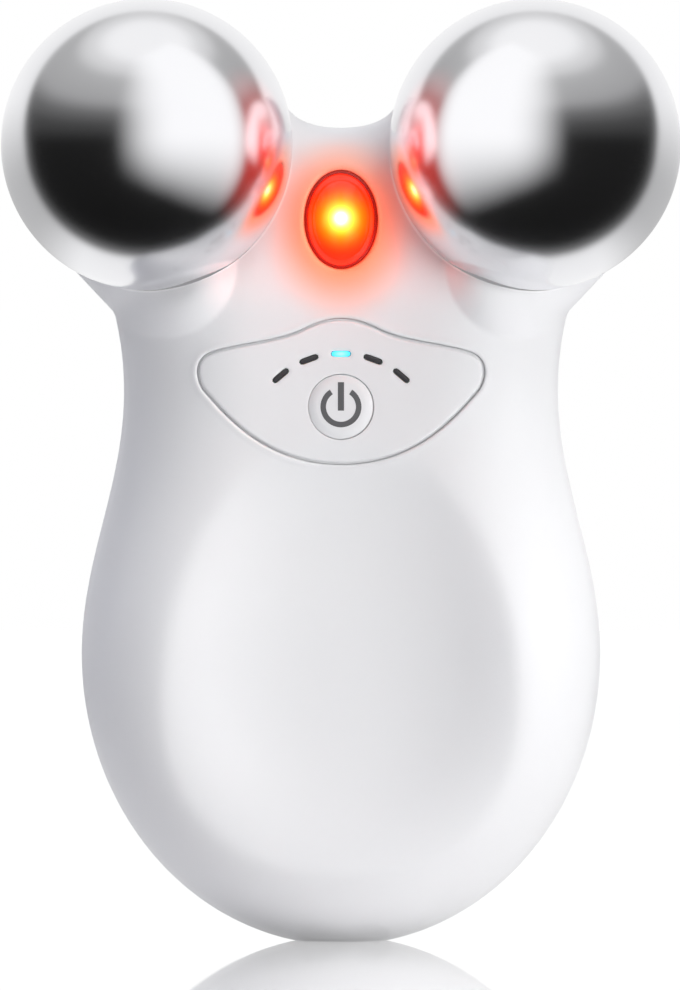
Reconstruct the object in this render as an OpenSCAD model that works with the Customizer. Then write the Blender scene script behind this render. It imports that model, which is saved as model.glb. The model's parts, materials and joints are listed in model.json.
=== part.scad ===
// Hand-held facial toning device: a pear-shaped casing that stands on a small flat, two metal
// electrode spheres in cups on top, a red light window between them, and a control panel with a
// power button and five level windows. Millimetres, +Z up, front faces -Y, X to the right.
// The casing's parting plane is y = 0 and the base flat is z = 0.

/* [Casing outline] */
// Height of the saddle between the spheres
saddle_z = 86.5; // [85.5:0.1:87.5]
// Half width of the bulb at its widest
bulb_half_w = 27.6; // [26.6:0.1:29]
// Height of the widest place of the bulb
bulb_z = 30.5; // [29:0.5:32]
// How far the bulb's ellipse would run below the base flat
base_cut = 0.5; // [0.3:0.1:0.9]
// Half width of the neck at its slimmest
neck_half_w = 23.1; // [22.4:0.1:23.8]
// Height of the slimmest place of the neck
neck_z = 58.5; // [57.5:0.5:59.5]
// Width that the neck gains below the sphere housings
collar_flare = 1; // [0.6:0.1:1.6]
// Height from the slimmest place to the corner below the sphere housings
collar_rise = 8.3; // [7.6:0.1:9]
// Angle of the flank that flares out under each sphere
flare_angle = 46.7; // [44:0.1:50]

/* [Casing depth] */
// Front depth of the bulb
bulb_front = 13; // [12:0.1:14]
// Front depth near the base
base_front = 12.6; // [11.5:0.1:13.5]
// Front depth of the neck, under the control panel
neck_front = 10.2; // [9.8:0.1:10.8]
// Front depth of the head
head_front = 10.4; // [10:0.1:11]
// Back depth of the bulb
bulb_back = 18; // [17:0.1:19.5]
// Back depth near the base
base_back = 14; // [13:0.1:15.5]
// Back depth of the neck
neck_back = 12.8; // [12.4:0.1:14]
// Back depth of the head
head_back = 12.6; // [12:0.1:14]
// Distance over which the front edge rounds over
round_front = 14; // [13:0.1:15]
// Distance over which the back edge rounds over
round_back = 14; // [13:0.1:15]
// Wall thickness of both shells
wall = 2; // [1.7:0.1:2.1]
// Gap between the two shells
seam_gap = 0.1; // [0.04:0.02:0.2]

/* [Thumb rest] */
// Half width of the spoon-shaped thumb rest
rest_half_w = 18.8; // [16:0.1:19.5]
// Height of the widest place of the thumb rest
rest_z = 24.5; // [24:0.5:27]
// Reach of the thumb rest below its widest place
rest_down = 17.5; // [16:0.5:19]
// Reach of the thumb rest above its widest place
rest_up = 28; // [24:0.5:28.5]
// Depth of the thumb rest
rest_depth = 3.9; // [0.8:0.1:4.2]

/* [Spheres] */
// Radius of the electrode spheres
sphere_r = 15.4; // [15:0.1:15.5]
// Wall of the hollow spheres
sphere_wall = 0.5; // [0.4:0.05:0.9]
// Distance of each sphere's centre from the middle
sphere_x = 20.5; // [20.3:0.1:21]
// Distance of the spheres' centres in front of the parting plane
sphere_fwd = 9.5; // [9.2:0.1:10]
// Height of the spheres' centres
sphere_z = 84.4; // [84:0.1:85]
// Gap between a sphere and its cup
cup_gap = 0.2; // [0.15:0.05:0.5]
// Wall of the cups
cup_wall = 1.6; // [1.4:0.1:1.8]
// How proud of the neck the sphere housings stand
socket_h = 2.2; // [1:0.1:2.4]
// Radius of the rounded tip under each housing
socket_tip_r = 7.6; // [7:0.1:8.2]
// Radius of the threaded studs
stud_r = 1.5; // [1.2:0.05:1.6]
// Radius of the insulating gaskets
gasket_r = 3.8; // [3.4:0.1:4]

/* [Control panel] */
// Half width of the panel
panel_half_w = 15.5; // [14:0.1:15.8]
// Height of the panel's widest place, its pointed ends
panel_z = 60.8; // [60:0.1:61.4]
// Height of the panel's peak above its ends
panel_up = 5; // [4.4:0.1:5.4]
// Depth of the panel's belly below its ends
panel_down = 9.95; // [9:0.1:10.4]
// Width of the fine groove round the panel
panel_groove = 0.25; // [0.15:0.05:0.35]
// Thickness of the floor under the panel
seat_t = 1.2; // [1:0.1:1.4]
// Thickness of the adhesive film
film_t = 0.15; // [0.1:0.05:0.25]
// Radius of the power button
button_r = 3.35; // [3:0.05:3.45]
// Height of the power button's centre
button_z = 56.7; // [56.3:0.1:57]
// Travel of the power button
button_travel = 0.3; // [0.2:0.05:0.35]
// Radius of the arc of level windows
level_arc_r = 9.9; // [9.7:0.1:10.2]
// Angle between level windows
level_step = 20; // [18:0.5:21]
// Length of a level window
level_l = 2.05; // [1.6:0.05:2.3]
// Height of a level window
level_h = 0.54; // [0.4:0.02:0.7]

/* [Light window] */
// Half width of the oval opening for the window
window_a = 3.9; // [3.6:0.1:4.1]
// Half height of the oval opening for the window
window_b = 5.25; // [4.8:0.05:5.4]
// Height of the window's centre
window_z = 76.5; // [76:0.1:77]
// Width of the bezel round the window
bezel_w = 0.35; // [0.25:0.05:0.5]

/* [Inside] */
// Distance of the circuit board's front face in front of the parting plane
board_y = 3.2; // [3:0.1:3.4]
// Thickness of the circuit boards
board_t = 1; // [0.8:0.1:1]
// Half width of the main board
board_half_w = 13.5; // [13:0.1:14]
// Lower edge of the main board
board_bottom = 34; // [33:0.5:35]
// Upper edge of the main board
board_top = 64.6; // [64:0.1:65]
// Distance of the inner frame's front face behind the parting plane
frame_y = 4; // [3.6:0.1:4.4]
// Thickness of the inner frame
frame_t = 1.5; // [1.2:0.1:1.8]
// Lower edge of the inner frame
frame_bottom = 17.5; // [17.2:0.1:18]
// Width of the battery cell
cell_w = 24; // [20:0.5:25]
// Height of the battery cell
cell_h = 29; // [24:0.5:30]
// Thickness of the battery cell
cell_t = 6; // [5:0.1:6.2]
// Radius of the casing screws
case_screw_r = 1; // [0.8:0.05:1.1]
// Height of the charging port's centre
port_z = 10; // [9.8:0.1:10.4]

/* [Hidden] */
$fn = 64;
tiny = 0.05;
LEVELS = 5;

// ---- Small helpers ----
function clamp(v) = min(max(v, 0), 1);
function smooth(v) = let (c = clamp(v)) c * c * (3 - 2 * c);
function soft_max0(v, soft) = (v + sqrt(v * v + soft)) / 2;
function round_over(s) = sqrt(1 - pow(1 - clamp(s), 2.3));
function flip_x(pts) = [for (i = [len(pts) - 2 : -1 : 1]) [-pts[i].x, pts[i].y]];
function oval(a, b, n) = [for (i = [0 : n - 1]) [a * cos(360 * i / n), b * sin(360 * i / n)]];
function shift(pts, v) = [for (p = pts) p + v];
function bezier(a, b, c, d, t) =
    pow(1 - t, 3) * a + 3 * t * pow(1 - t, 2) * b + 3 * t * t * (1 - t) * c + pow(t, 3) * d;

// Unit normal to the right of a closed outline's direction at point i
function outline_normal(pts, i) =
    let (n = len(pts), d = pts[(i + 1) % n] - pts[(i + n - 1) % n])
    [d.y, -d.x] / norm(d);
function grow(pts, by) = [for (i = [0 : len(pts) - 1]) pts[i] + by * outline_normal(pts, i)];

// ---- Casing outline, seen from the front: [x, z] points, from the base up the right side ----
collar = [neck_half_w + collar_flare, neck_z + collar_rise];
lobe_r = sphere_r - 0.2;
lobe_c = [sphere_x, sphere_z];
flare_dir = [cos(flare_angle), sin(flare_angle)];
// The flare ends where it meets the lobe's circle, or where it passes nearest to it
flare_near = (lobe_c - collar) * flare_dir;
flare_miss = norm(lobe_c - collar - flare_near * flare_dir);
flare_l = flare_near - (flare_miss < lobe_r ? sqrt(lobe_r * lobe_r - flare_miss * flare_miss) : 0);
flare_end = collar + flare_l * flare_dir;
lobe_start = atan2(flare_end.y - lobe_c.y, flare_end.x - lobe_c.x);
lobe_end = 160;
saddle_end = lobe_c + lobe_r * [cos(lobe_end), sin(lobe_end)];
saddle_ctrl = [saddle_end.x - (saddle_end.y - saddle_z) * tan(180 - lobe_end), saddle_z];
bulb_down = bulb_z + base_cut;

base_part = [for (i = [0 : 13]) let (u = 90 * i / 14)
    [bulb_half_w * sin(u), bulb_z - bulb_down * cos(u)]];
flank_part = [for (i = [0 : 8]) let (u = i / 9)
    [neck_half_w + (bulb_half_w - neck_half_w) * (1 + cos(180 * u)) / 2,
     bulb_z + (neck_z - bulb_z) * u]];
neck_part = [for (i = [0 : 3]) let (u = i / 4)
    [neck_half_w + collar_flare * u * u, neck_z + collar_rise * u]];
flare_part = [for (i = [0 : 2]) collar + flare_l * i / 3 * flare_dir];
lobe_part = [for (i = [0 : 21]) let (u = lobe_start + (lobe_end - lobe_start) * i / 22)
    lobe_c + lobe_r * [cos(u), sin(u)]];
saddle_part = [for (i = [0 : 4]) let (t = i / 4)
    (1 - t) * (1 - t) * saddle_end + 2 * t * (1 - t) * saddle_ctrl + t * t * [0, saddle_z]];
half_outline = concat(base_part, flank_part, neck_part, flare_part, lobe_part, saddle_part);
outline = concat(half_outline, flip_x(half_outline));
body_c = [0, 60];

// Distance from a point inside to the casing's outline
function seg_dist(p, a, b) =
    let (ab = b - a, t = clamp((p - a) * ab / (ab * ab)))
    norm(p - a - t * ab);
function edge_dist(p) =
    let (q = [abs(p.x), p.y])
    min([for (i = [0 : len(half_outline) - 2]) seg_dist(q, half_outline[i], half_outline[i + 1])]);

// ---- Casing depth at a point [x, z] ----
function depth_along(z, base, bulb, neck, head) =
    z < bulb_z ? bulb + (base - bulb) * pow((bulb_z - z) / bulb_down, 2)
    : z < neck_z ? neck + (bulb - neck) * (1 + cos(180 * (z - bulb_z) / (neck_z - bulb_z))) / 2
    : neck + (head - neck) * smooth((z - neck_z) / (saddle_z - neck_z));

// The head falls away on both sides of its middle ridge, behind the spheres
valley_d = 3.5;
valley_w = 6.5;
valley_rise = 12;
function valley(p) =
    valley_d * smooth((p.y - collar.y) / valley_rise) * (1 - exp(-pow(p.x / valley_w, 2)));

// A housing swells under each sphere: a tapered capsule with a crease round it
socket_tip = [sphere_x - 1.8, sphere_z - 12.9];
socket_run = 4;
function socket(p) =
    let (q = [abs(p.x), p.y], ab = lobe_c - socket_tip)
    let (t = clamp((q - socket_tip) * ab / (ab * ab)))
    let (r = socket_tip_r + (lobe_r - 1.2 - socket_tip_r) * t)
    socket_h * sin(90 * clamp((r - norm(q - socket_tip - t * ab)) / socket_run));

// The thumb rest: a shallow egg-shaped hollow with a soft rim
function thumb_rest(p) =
    let (dz = p.y - rest_z, reach = dz < 0 ? rest_down : rest_up, e = 2.2)
    let (q = pow(pow(abs(p.x) / rest_half_w, e) + pow(abs(dz) / reach, e), 1 / e))
    rest_depth * soft_max0(1 - pow(q, 2.5), 0.015);

function front_form(p, inset) =
    let (d = edge_dist(p) - inset)
    (depth_along(p.y, base_front, bulb_front, neck_front, head_front)
     - valley(p) + socket(p) - inset) * round_over(d / round_front);
function front_depth(p, inset = 0) = max(front_form(p, inset) - thumb_rest(p), 0);
function rear_depth(p, inset = 0) =
    let (d = edge_dist(p) - inset)
    (depth_along(p.y, base_back, bulb_back, neck_back, head_back) - inset)
    * round_over(d / round_back);

// A closed form over an outline: a domed face made of rings, and a flat face at `flat`
module domed_form(ring, centre, rings, side, flat, height) {
    n = len(ring);
    dome = [for (j = [1 : rings], i = [0 : n - 1])
        let (p = centre + sin(90 * j / rings) * (ring[i] - centre))
        [p.x, side * height(p, j / rings), p.y]];
    rim = [for (i = [0 : n - 1]) [ring[i].x, side * flat, ring[i].y]];
    mid = [[centre.x, side * height(centre, 0), centre.y], [centre.x, side * flat, centre.y]];
    pts = concat(mid, dome, rim);
    at = function (j, i) 2 + j * n + i % n;
    top = [for (i = [0 : n - 1]) [0, at(0, i + 1), at(0, i)]];
    bands = [for (j = [0 : rings - 1], i = [0 : n - 1], k = [0, 1])
        k == 0 ? [at(j, i), at(j, i + 1), at(j + 1, i + 1)]
               : [at(j, i), at(j + 1, i + 1), at(j + 1, i)]];
    bottom = [for (i = [0 : n - 1]) [1, at(rings, i), at(rings, i + 1)]];
    faces = concat(top, bands, bottom);
    polyhedron(pts, side < 0 ? faces : [for (f = faces) [f[0], f[2], f[1]]]);
}

module prism(ring, y0, y1) {
    translate([0, y1, 0]) rotate([90, 0, 0]) linear_extrude(y1 - y0) polygon(ring);
}

// A cylinder along Y at [x, z], from y0 to y1
module rod(p, r, y0, y1) {
    translate([p.x, y0, p.y]) rotate([-90, 0, 0]) cylinder(h = y1 - y0, r = r);
}

module plate(w, h, y0, y1, corner, centre) {
    x = w / 2 - corner;
    z = h / 2 - corner;
    translate([centre.x, y1, centre.y]) rotate([90, 0, 0]) linear_extrude(y1 - y0) {
        square([w, h - 2 * corner], center = true);
        square([w - 2 * corner, h], center = true);
        for (sx = [-1, 1], sz = [-1, 1]) translate([sx * x, sz * z]) circle(corner);
    }
}

// A flat bar with round ends along X, from y0 to y1
module pill(l, h, y0, y1) {
    translate([0, y1, 0]) rotate([90, 0, 0]) linear_extrude(y1 - y0) {
        square([l - h, h], center = true);
        for (s = [-1, 1]) translate([s * (l - h) / 2, 0]) circle(h / 2);
    }
}

// A route of straight stretches with its corners rounded over `bend`
function rounded(pts, bend) = concat([pts[0]],
    [for (i = [1 : len(pts) - 2])
        let (back = (pts[i - 1] - pts[i]) / norm(pts[i - 1] - pts[i]))
        let (on = (pts[i + 1] - pts[i]) / norm(pts[i + 1] - pts[i]))
        for (t = [0 : 0.25 : 1]) pts[i] + bend * ((1 - t) * (1 - t) * back + t * t * on)],
    [pts[len(pts) - 1]]);

// A round wire swept along a route; `across` is any direction that the route never takes
module wire(pts, r, across) {
    sides = 8;
    route = rounded(pts, 2.2 * r);
    n = len(route);
    rings = [for (i = [0 : n - 1])
        let (v = route[min(i + 1, n - 1)] - route[max(i - 1, 0)])
        let (u = cross(v, across), w = cross(v, u))
        for (k = [0 : sides - 1]) route[i]
            + r * (cos(360 * k / sides) * u / norm(u) + sin(360 * k / sides) * w / norm(w))];
    walls = [for (i = [0 : n - 2], k = [0 : sides - 1], half = [0, 1])
        let (a = i * sides + k, b = i * sides + (k + 1) % sides)
        half == 0 ? [a, b, b + sides] : [a, b + sides, a + sides]];
    polyhedron(rings, concat(walls,
        [[for (k = [sides - 1 : -1 : 0]) k], [for (k = [0 : sides - 1]) (n - 1) * sides + k]]));
}

module both_sides() {
    children();
    mirror([1, 0, 0]) children();
}

// ---- Spheres, cups and studs ----
cup_in = sphere_r + cup_gap;
cup_out = cup_in + cup_wall;
nest_gap = 0.07;
stud_dir = [-0.451, 0.702, -0.551];
gasket_t = 0.8;
fit = 0.02;
play = 0.05;
gasket_s = sphere_r + play;
seat_s = gasket_s + gasket_t + play;
pad_s = cup_out + 0.55;
lug_t = 0.5;
nut_h = 2.3;
lug_s = pad_s + fit;
nut_s = lug_s + lug_t + fit;
stud_end = nut_s + nut_h + 1.2;
boss_depth = 3.6;
stud_hole_r = stud_r + 0.4;
nut_r = 2.08 * stud_r;
lug_r = 1.9 * stud_r;

module at_sphere() {
    translate([sphere_x, -sphere_fwd, sphere_z]) children();
}

// Local +Z runs from the right sphere's centre along its stud
module along_stud() {
    at_sphere() rotate([0, acos(stud_dir.z), atan2(stud_dir.y, stud_dir.x)]) children();
}

function on_stud(s) = [sphere_x, -sphere_fwd, sphere_z] + s * stud_dir;

module electrode_sphere() {
    difference() {
        union() {
            difference() {
                at_sphere() sphere(sphere_r);
                at_sphere() sphere(sphere_r - sphere_wall);
            }
            along_stud() translate([0, 0, sphere_r - boss_depth - 0.4])
                cylinder(h = boss_depth, r = 2 * stud_r);
        }
        along_stud() translate([0, 0, sphere_r - boss_depth - 1])
            cylinder(h = boss_depth + 3, r = stud_r + fit);
    }
}

module sphere_gasket() {
    along_stud() translate([0, 0, gasket_s]) difference() {
        cylinder(h = gasket_t, r = gasket_r);
        translate([0, 0, -1]) cylinder(h = gasket_t + 2, r = stud_r + play);
    }
}

module sphere_stud() {
    along_stud() translate([0, 0, sphere_r - boss_depth - 0.2])
        cylinder(h = stud_end - sphere_r + boss_depth + 0.2, r = stud_r);
}

// The tab's direction: down and forwards, square to the stud
tab_dir = [0.298, -0.463, -0.834];
tab_l = 6;
module terminal_lug() {
    along_stud() translate([0, 0, lug_s]) difference() {
        union() {
            cylinder(h = lug_t, r = lug_r);
            rotate([0, 0, tab_angle]) translate([0, -0.8, 0]) cube([tab_l, 1.6, lug_t]);
        }
        translate([0, 0, -1]) cylinder(h = lug_t + 2, r = stud_r + play);
    }
}

// Turn about the stud that lays the lug's tab along tab_dir
stud_tilt = acos(stud_dir.z);
stud_turn = atan2(stud_dir.y, stud_dir.x);
local_x = [cos(stud_tilt) * cos(stud_turn), cos(stud_tilt) * sin(stud_turn), -sin(stud_tilt)];
local_y = [-sin(stud_turn), cos(stud_turn), 0];
tab_angle = atan2(tab_dir * local_y, tab_dir * local_x);

module stud_nut() {
    along_stud() translate([0, 0, nut_s]) difference() {
        cylinder(h = nut_h, r = nut_r, $fn = 6);
        translate([0, 0, -1]) cylinder(h = nut_h + 2, r = stud_r + fit);
    }
}

lead_r = 0.5;
tab_end = on_stud(lug_s + lug_t / 2) + (tab_l + lead_r + play) * tab_dir;
lead_lane_y = 1;
lead_lane_z = board_top + 1.4;
lead_pad = [6.5, board_top - 2];
skew = [0.6, 0.6, -0.5];
module electrode_lead() {
    wire([
        tab_end,
        [tab_end.x - 0.4, lead_lane_y, lead_lane_z],
        [lead_pad.x, lead_lane_y, lead_pad.y],
        [lead_pad.x, board_back + fit, lead_pad.y]], lead_r, skew);
}

// ---- Screw places: [x, z] on the right side ----
case_places = [[16.5, neck_z + 1.5], [13, 14]];
case_seat_y = 5;
case_head_r = 1.9 * case_screw_r;
case_head_h = 1.4;
case_bore_r = case_head_r + 0.25;
case_post_r = case_bore_r + 0.75;
case_tip_y = 5;
plug_t = 2.1;
plug_sink = 0.35;

// How far from the parting plane a post of radius r may reach and stay inside the shell's skin
skin = 0.6;
function rim(p, r) = [for (a = [0 : 45 : 315]) p + r * [cos(a), sin(a)]];
function front_reach(p, r) = min([for (q = rim(p, r)) front_depth(q)]) - skin;
function rear_reach(p, r) = min([for (q = rim(p, r)) rear_depth(q)]) - skin;

module front_post(p, r, y1) {
    rod(p, r, -front_reach(p, r), y1);
}

module rear_post(p, r, y0) {
    rod(p, r, y0, rear_reach(p, r));
}

module case_screw(p) {
    rod(p, case_screw_r, -case_tip_y, case_seat_y + tiny);
    rod(p, case_head_r, case_seat_y + fit, case_seat_y + case_head_h);
}

module screw_plug(p) {
    top = rear_depth(p) - plug_sink;
    rod(p, case_bore_r - play, top - plug_t, top);
}

// ---- Control panel ----
panel_seat_y = neck_front - wall;
panel_back_y = panel_seat_y + film_t;
level_c = [0, button_z - 4.3];

// The panel's outline: a soft peak on top, pointed round ends and a full belly below
panel_tip = [panel_half_w, panel_z];
function panel_curve(a, b, c, d, n) = [for (i = [0 : n - 1]) bezier(a, b, c, d, i / n)];
panel_half = concat(
    panel_curve([0, panel_z - panel_down], [8.2, panel_z - panel_down],
        [12.2, panel_z - 4.6], panel_tip - [1.1, 2.2], 14),
    panel_curve(panel_tip - [1.1, 2.2], panel_tip - [0.3, 0.9],
        panel_tip + [-0.2, 0.9], panel_tip + [-1.9, 1.5], 6),
    panel_curve(panel_tip + [-1.9, 1.5], panel_tip + [-5, 2.5],
        [6.2, panel_z + 2.6], [3.6, panel_z + 4.1], 8),
    panel_curve([3.6, panel_z + 4.1], [2.2, panel_z + 4.75],
        [1.2, panel_z + panel_up], [0, panel_z + panel_up], 5),
    [[0, panel_z + panel_up]]);
panel_ring = concat(panel_half, flip_x(panel_half));
panel_c = [0, panel_z - 2];

level_gap = 0.06;
module at_level(i) {
    a = (i - (LEVELS + 1) / 2) * level_step;
    translate([level_c.x + level_arc_r * sin(a), 0, level_c.y + level_arc_r * cos(a)])
        rotate([0, a, 0]) children();
}
function level_place(i) =
    let (a = (i - (LEVELS + 1) / 2) * level_step)
    level_c + level_arc_r * [sin(a), cos(a)];

module level_slots(y0, y1) {
    for (i = [1 : LEVELS])
        at_level(i) pill(level_l + 2 * level_gap, level_h + 2 * level_gap, y0, y1);
}

led_h = 0.65;
pipe_sink = 0.05;
module light_pipe(i) {
    at_level(i) pill(level_l, level_h,
        -front_depth(level_place(i)) + pipe_sink, -board_y - led_h - 0.4);
}

// The button's cap slides in the panel and the floor; its flange stays behind the floor
button_gap = 0.12;
button_c = [0, button_z];
button_crown_y = front_depth(button_c) + 0.22;
floor_back_y = panel_seat_y - seat_t;
flange_t = 0.6;
flange_r = button_r + 1.1;
flange_y = floor_back_y - play;
crown_r = 13;
legend_r = 0.645 * button_r;
legend_w = 0.58;
legend_bar_w = 0.65;
legend_bar_l = 0.9 * button_r;
legend_gap = 33;
legend_t = 0.8;
legend_in = 0.6;

// The button's front is a low crown, whose edge ends a little below the panel's face
module button_crown() {
    translate([0, crown_r - button_crown_y, button_z]) sphere(crown_r, $fn = 256);
}

module legend_form() {
    translate([0, legend_in - button_crown_y, button_z]) rotate([90, 0, 0]) {
        rotate([0, 0, 90 + legend_gap])
            rotate_extrude(angle = 360 - 2 * legend_gap)
                translate([legend_r - legend_w, 0]) square([legend_w, legend_t]);
        translate([-legend_bar_w / 2, -0.12 * button_r, 0])
            cube([legend_bar_w, legend_bar_l, legend_t]);
    }
}

// ---- Switch behind the button ----
switch_w = 5.2;
switch_h = 1.9;
plunger_r = 1.2;
plunger_out = 0.8;
plunger_in = 0.8;
switch_front_y = board_y + switch_h;
plunger_tip_y = switch_front_y + plunger_out;

// ---- Light window ----
window_c = [0, window_z];
window_seat_y = 4;
window_flange_t = 0.75;
window_flange = 1;
lens_a = window_a - bezel_w - play;
lens_b = window_b - bezel_w - play;
lens_sink = 0.55;
lens_dome = 1.1;
lens_edge = 0.88;
function window_ring(a, b, n = 48) = shift(oval(a, b, n), window_c);

// ---- Boards ----
board_back = -board_y + board_t;
led_board_y = 1;
led_board_half_w = 4.5;
led_board_bottom = board_top + 1.3;
led_board_top = 81.5;
led_screw_place = [2.9, led_board_bottom + 1.9];
red_led_w = 5;
red_led_h = 1.6;
small_screw_r = 0.6;
board_screw_places = [[board_half_w - 2.5, board_bottom + 3], [board_half_w - 2.5, board_top - 3.1]];
frame_screw_places = [[16.4, 26], [16.4, 46]];
frame_top = board_top - 0.6;
frame_back = frame_y + frame_t;
tape_t = 0.2;
cell_y = frame_back + tape_t;
cell_z0 = frame_bottom + 1;
cell_mid = [0, cell_z0 + cell_h / 2];
pad_t = 1;
pad_back = cell_y + cell_t + pad_t;
pad_post_z = 0.31 * cell_h;
connector_z = 53.5;
connector_size = [7, 3, 4];

// ---- What stands on the main board ----
controller_w = 5;
charger_w = 3;
chip_t = 0.9;
controller_c = [-6.5, board_bottom + 11];
charger_c = [5.5, board_bottom + 7];
inductor_c = [-6, board_bottom + 9];
inductor_r = 3;
inductor_h = 2.8;
buzzer_c = [5.5, board_bottom + 9.5];
buzzer_r = 4.5;
buzzer_h = 3;

// ---- Charging port ----
port_w = 8.94;
port_h = 3.26;
port_l = 7.3;
port_metal = 0.3;
port_c = [0, port_z];
port_mouth_y = rear_depth(port_c) - 0.6;
port_base_y = port_mouth_y - port_l;
port_board_y = port_base_y - board_t;
port_board_w = 18;
port_board_h = 9.6;
port_board_mid = [0, port_z + 1.2];
tongue_w = 6.7;
tongue_l = 5.6;
tongue_t = 0.7;
tongue_base = 1.2;
port_screw_place = [7, port_z + 3.4];

// Everything below the base flat
module below_base() {
    translate([-50, -50, -10]) cube([100, 100, 10]);
}

// ================= The pieces =================

module front_shell() {
    color("white") difference() {
        union() {
            difference() {
                domed_form(outline, body_c, 16, -1, seam_gap / 2,
                    function (p, t) seam_gap / 2 + (t < 1 ? front_depth(p) : 0));
                difference() {
                    domed_form(grow(outline, -wall), body_c, 9, -1, -1,
                        function (p, t) seam_gap / 2 + (t < 1 ? front_depth(p, wall) : 0));
                    both_sides() at_sphere() sphere(cup_out);
                }
            }
            // the back of each cup, past the parting plane
            both_sides() intersection() {
                at_sphere() sphere(cup_out);
                translate([0, -0.6, sphere_z - 20]) cube([40, 20, 40]);
            }
            both_sides() along_stud() translate([0, 0, cup_out - 1])
                cylinder(h = pad_s - cup_out + 1, r = gasket_r + 0.8);
            // floor under the control panel
            prism(grow(panel_ring, 1), -panel_seat_y, -floor_back_y);
            // seat behind the light window
            domed_form(window_ring(window_a + 1.7, window_b + 1.6), window_c, 3, -1,
                window_seat_y, function (p, t) max(front_depth(p) - 0.9, window_seat_y + 0.1));
            both_sides() for (p = case_places) front_post(p, case_post_r, -seam_gap / 2);
            both_sides() front_post(led_screw_place, 1.5, -led_board_y);
        }
        both_sides() at_sphere() sphere(cup_in);
        both_sides() rod(lobe_c, cup_in, -sphere_fwd - 20, -sphere_fwd);
        both_sides() along_stud() cylinder(h = seat_s, r = gasket_r + 0.1);
        both_sides() along_stud() cylinder(h = pad_s + 1, r = stud_hole_r);
        prism(grow(panel_ring, panel_groove), -20, -panel_seat_y);
        rod(button_c, button_r + button_gap, -20, 0);
        level_slots(-20, -floor_back_y + 1);
        prism(window_ring(window_a, window_b), -20, -1);
        both_sides() for (p = case_places) rod(p, case_screw_r + fit, -case_tip_y - 0.3, 1);
        both_sides() rod(led_screw_place, small_screw_r + fit, -led_board_y - 3.2, 1);
        below_base();
    }
}

module rear_shell() {
    color("white") difference() {
        union() {
            difference() {
                domed_form(outline, body_c, 13, 1, seam_gap / 2,
                    function (p, t) seam_gap / 2 + (t < 1 ? rear_depth(p) : 0));
                domed_form(grow(outline, -wall), body_c, 8, 1, -1,
                    function (p, t) seam_gap / 2 + (t < 1 ? rear_depth(p, wall) : 0));
            }
            both_sides() for (p = case_places) rear_post(p, case_post_r, seam_gap / 2);
            both_sides() for (p = frame_screw_places) rear_post(p, 2.4, frame_back);
            // posts that press the pad on the battery
            both_sides() for (z = [cell_mid.y - pad_post_z, cell_mid.y + pad_post_z])
                rear_post([cell_w / 4, z], 1.3, pad_back);
            both_sides() rear_post(port_screw_place, 1.9, port_base_y);
        }
        both_sides() at_sphere() sphere(cup_out + nest_gap);
        // room for the battery
        plate(cell_w + 2 * play, cell_h + 2 * play, 0, cell_y + cell_t + play, 1, cell_mid);
        both_sides() for (p = case_places) {
            rod(p, case_screw_r + 0.15, -1, 20);
            rod(p, case_bore_r, case_seat_y, 25);
        }
        both_sides() for (p = frame_screw_places) rod(p, 0.92, frame_back - 1, frame_back + 5.4);
        both_sides() rod(port_screw_place, small_screw_r + fit, port_base_y - 1, port_base_y + 3.4);
        translate([0, 0, port_z]) pill(port_w + 0.36, port_h + 0.36, port_base_y, 30);
        below_base();
    }
}

module case_screws() {
    color("silver") both_sides() for (p = case_places) case_screw(p);
}

module screw_plugs() {
    color("white") both_sides() for (p = case_places) screw_plug(p);
}

module control_panel() {
    color("whitesmoke") difference() {
        domed_form(panel_ring, panel_c, 6, -1, panel_back_y, function (p, t) front_depth(p));
        rod(button_c, button_r + button_gap, -20, 0);
        level_slots(-20, 0);
    }
}

module panel_adhesive() {
    color("gold") difference() {
        prism(grow(panel_ring, -0.6), -panel_back_y, -panel_seat_y);
        rod(button_c, button_r + button_gap + 0.3, -20, 0);
        level_slots(-20, 0);
    }
}

module power_button() {
    color("white") difference() {
        union() {
            intersection() {
                rod(button_c, button_r, -button_crown_y - 1, -flange_y + flange_t / 2);
                button_crown();
            }
            rod(button_c, flange_r, -flange_y, -flange_y + flange_t);
            rod(button_c, plunger_r, -flange_y, -plunger_tip_y - 0.03);
        }
        legend_form();
    }
}

module button_legend() {
    color("dimgray") intersection() {
        legend_form();
        button_crown();
    }
}

module light_pipes(i) {
    color(i == (LEVELS + 1) / 2 ? "turquoise" : "dimgray") light_pipe(i);
}

module light_shield() {
    y0 = -floor_back_y + play;
    y1 = -board_y - play;
    inner_r = flange_r + 0.2 + button_z - level_c.y;
    color("black") difference() {
        translate([level_c.x, y1, level_c.y]) rotate([90, 0, 0]) rotate([0, 0, 38])
            rotate_extrude(angle = 104) translate([inner_r, 0])
                square([level_arc_r + 1.4 - inner_r, y1 - y0]);
        level_slots(-20, 0);
        for (i = [1 : LEVELS])
            at_level(i) pill(level_l + 0.5, 1.3, -board_y - led_h - 0.3, 0);
    }
}

module indicator_leds() {
    color("khaki") for (i = [1 : LEVELS])
        at_level(i) translate([-0.8, -board_y - led_h, -0.4]) cube([1.6, led_h, 0.8]);
}

module light_window() {
    color("red") union() {
        domed_form(window_ring(lens_a, lens_b), window_c, 6, -1,
            window_seat_y - play - window_flange_t / 2,
            function (p, t) front_depth(p) - lens_sink
                + lens_dome * sqrt(max(1 - pow(sin(90 * t) / lens_edge, 2), 0)));
        difference() {
            prism(window_ring(window_a + window_flange, window_b + window_flange),
                -window_seat_y + play, -window_seat_y + play + window_flange_t);
            both_sides() at_sphere() sphere(cup_out + fit);
        }
    }
}

module window_bezel() {
    color("darkred") difference() {
        domed_form(window_ring(window_a - fit, window_b - fit), window_c, 3, -1,
            window_seat_y + play, function (p, t) front_depth(p) - 0.3);
        prism(window_ring(window_a - bezel_w, window_b - bezel_w), -20, 0);
    }
}

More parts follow.
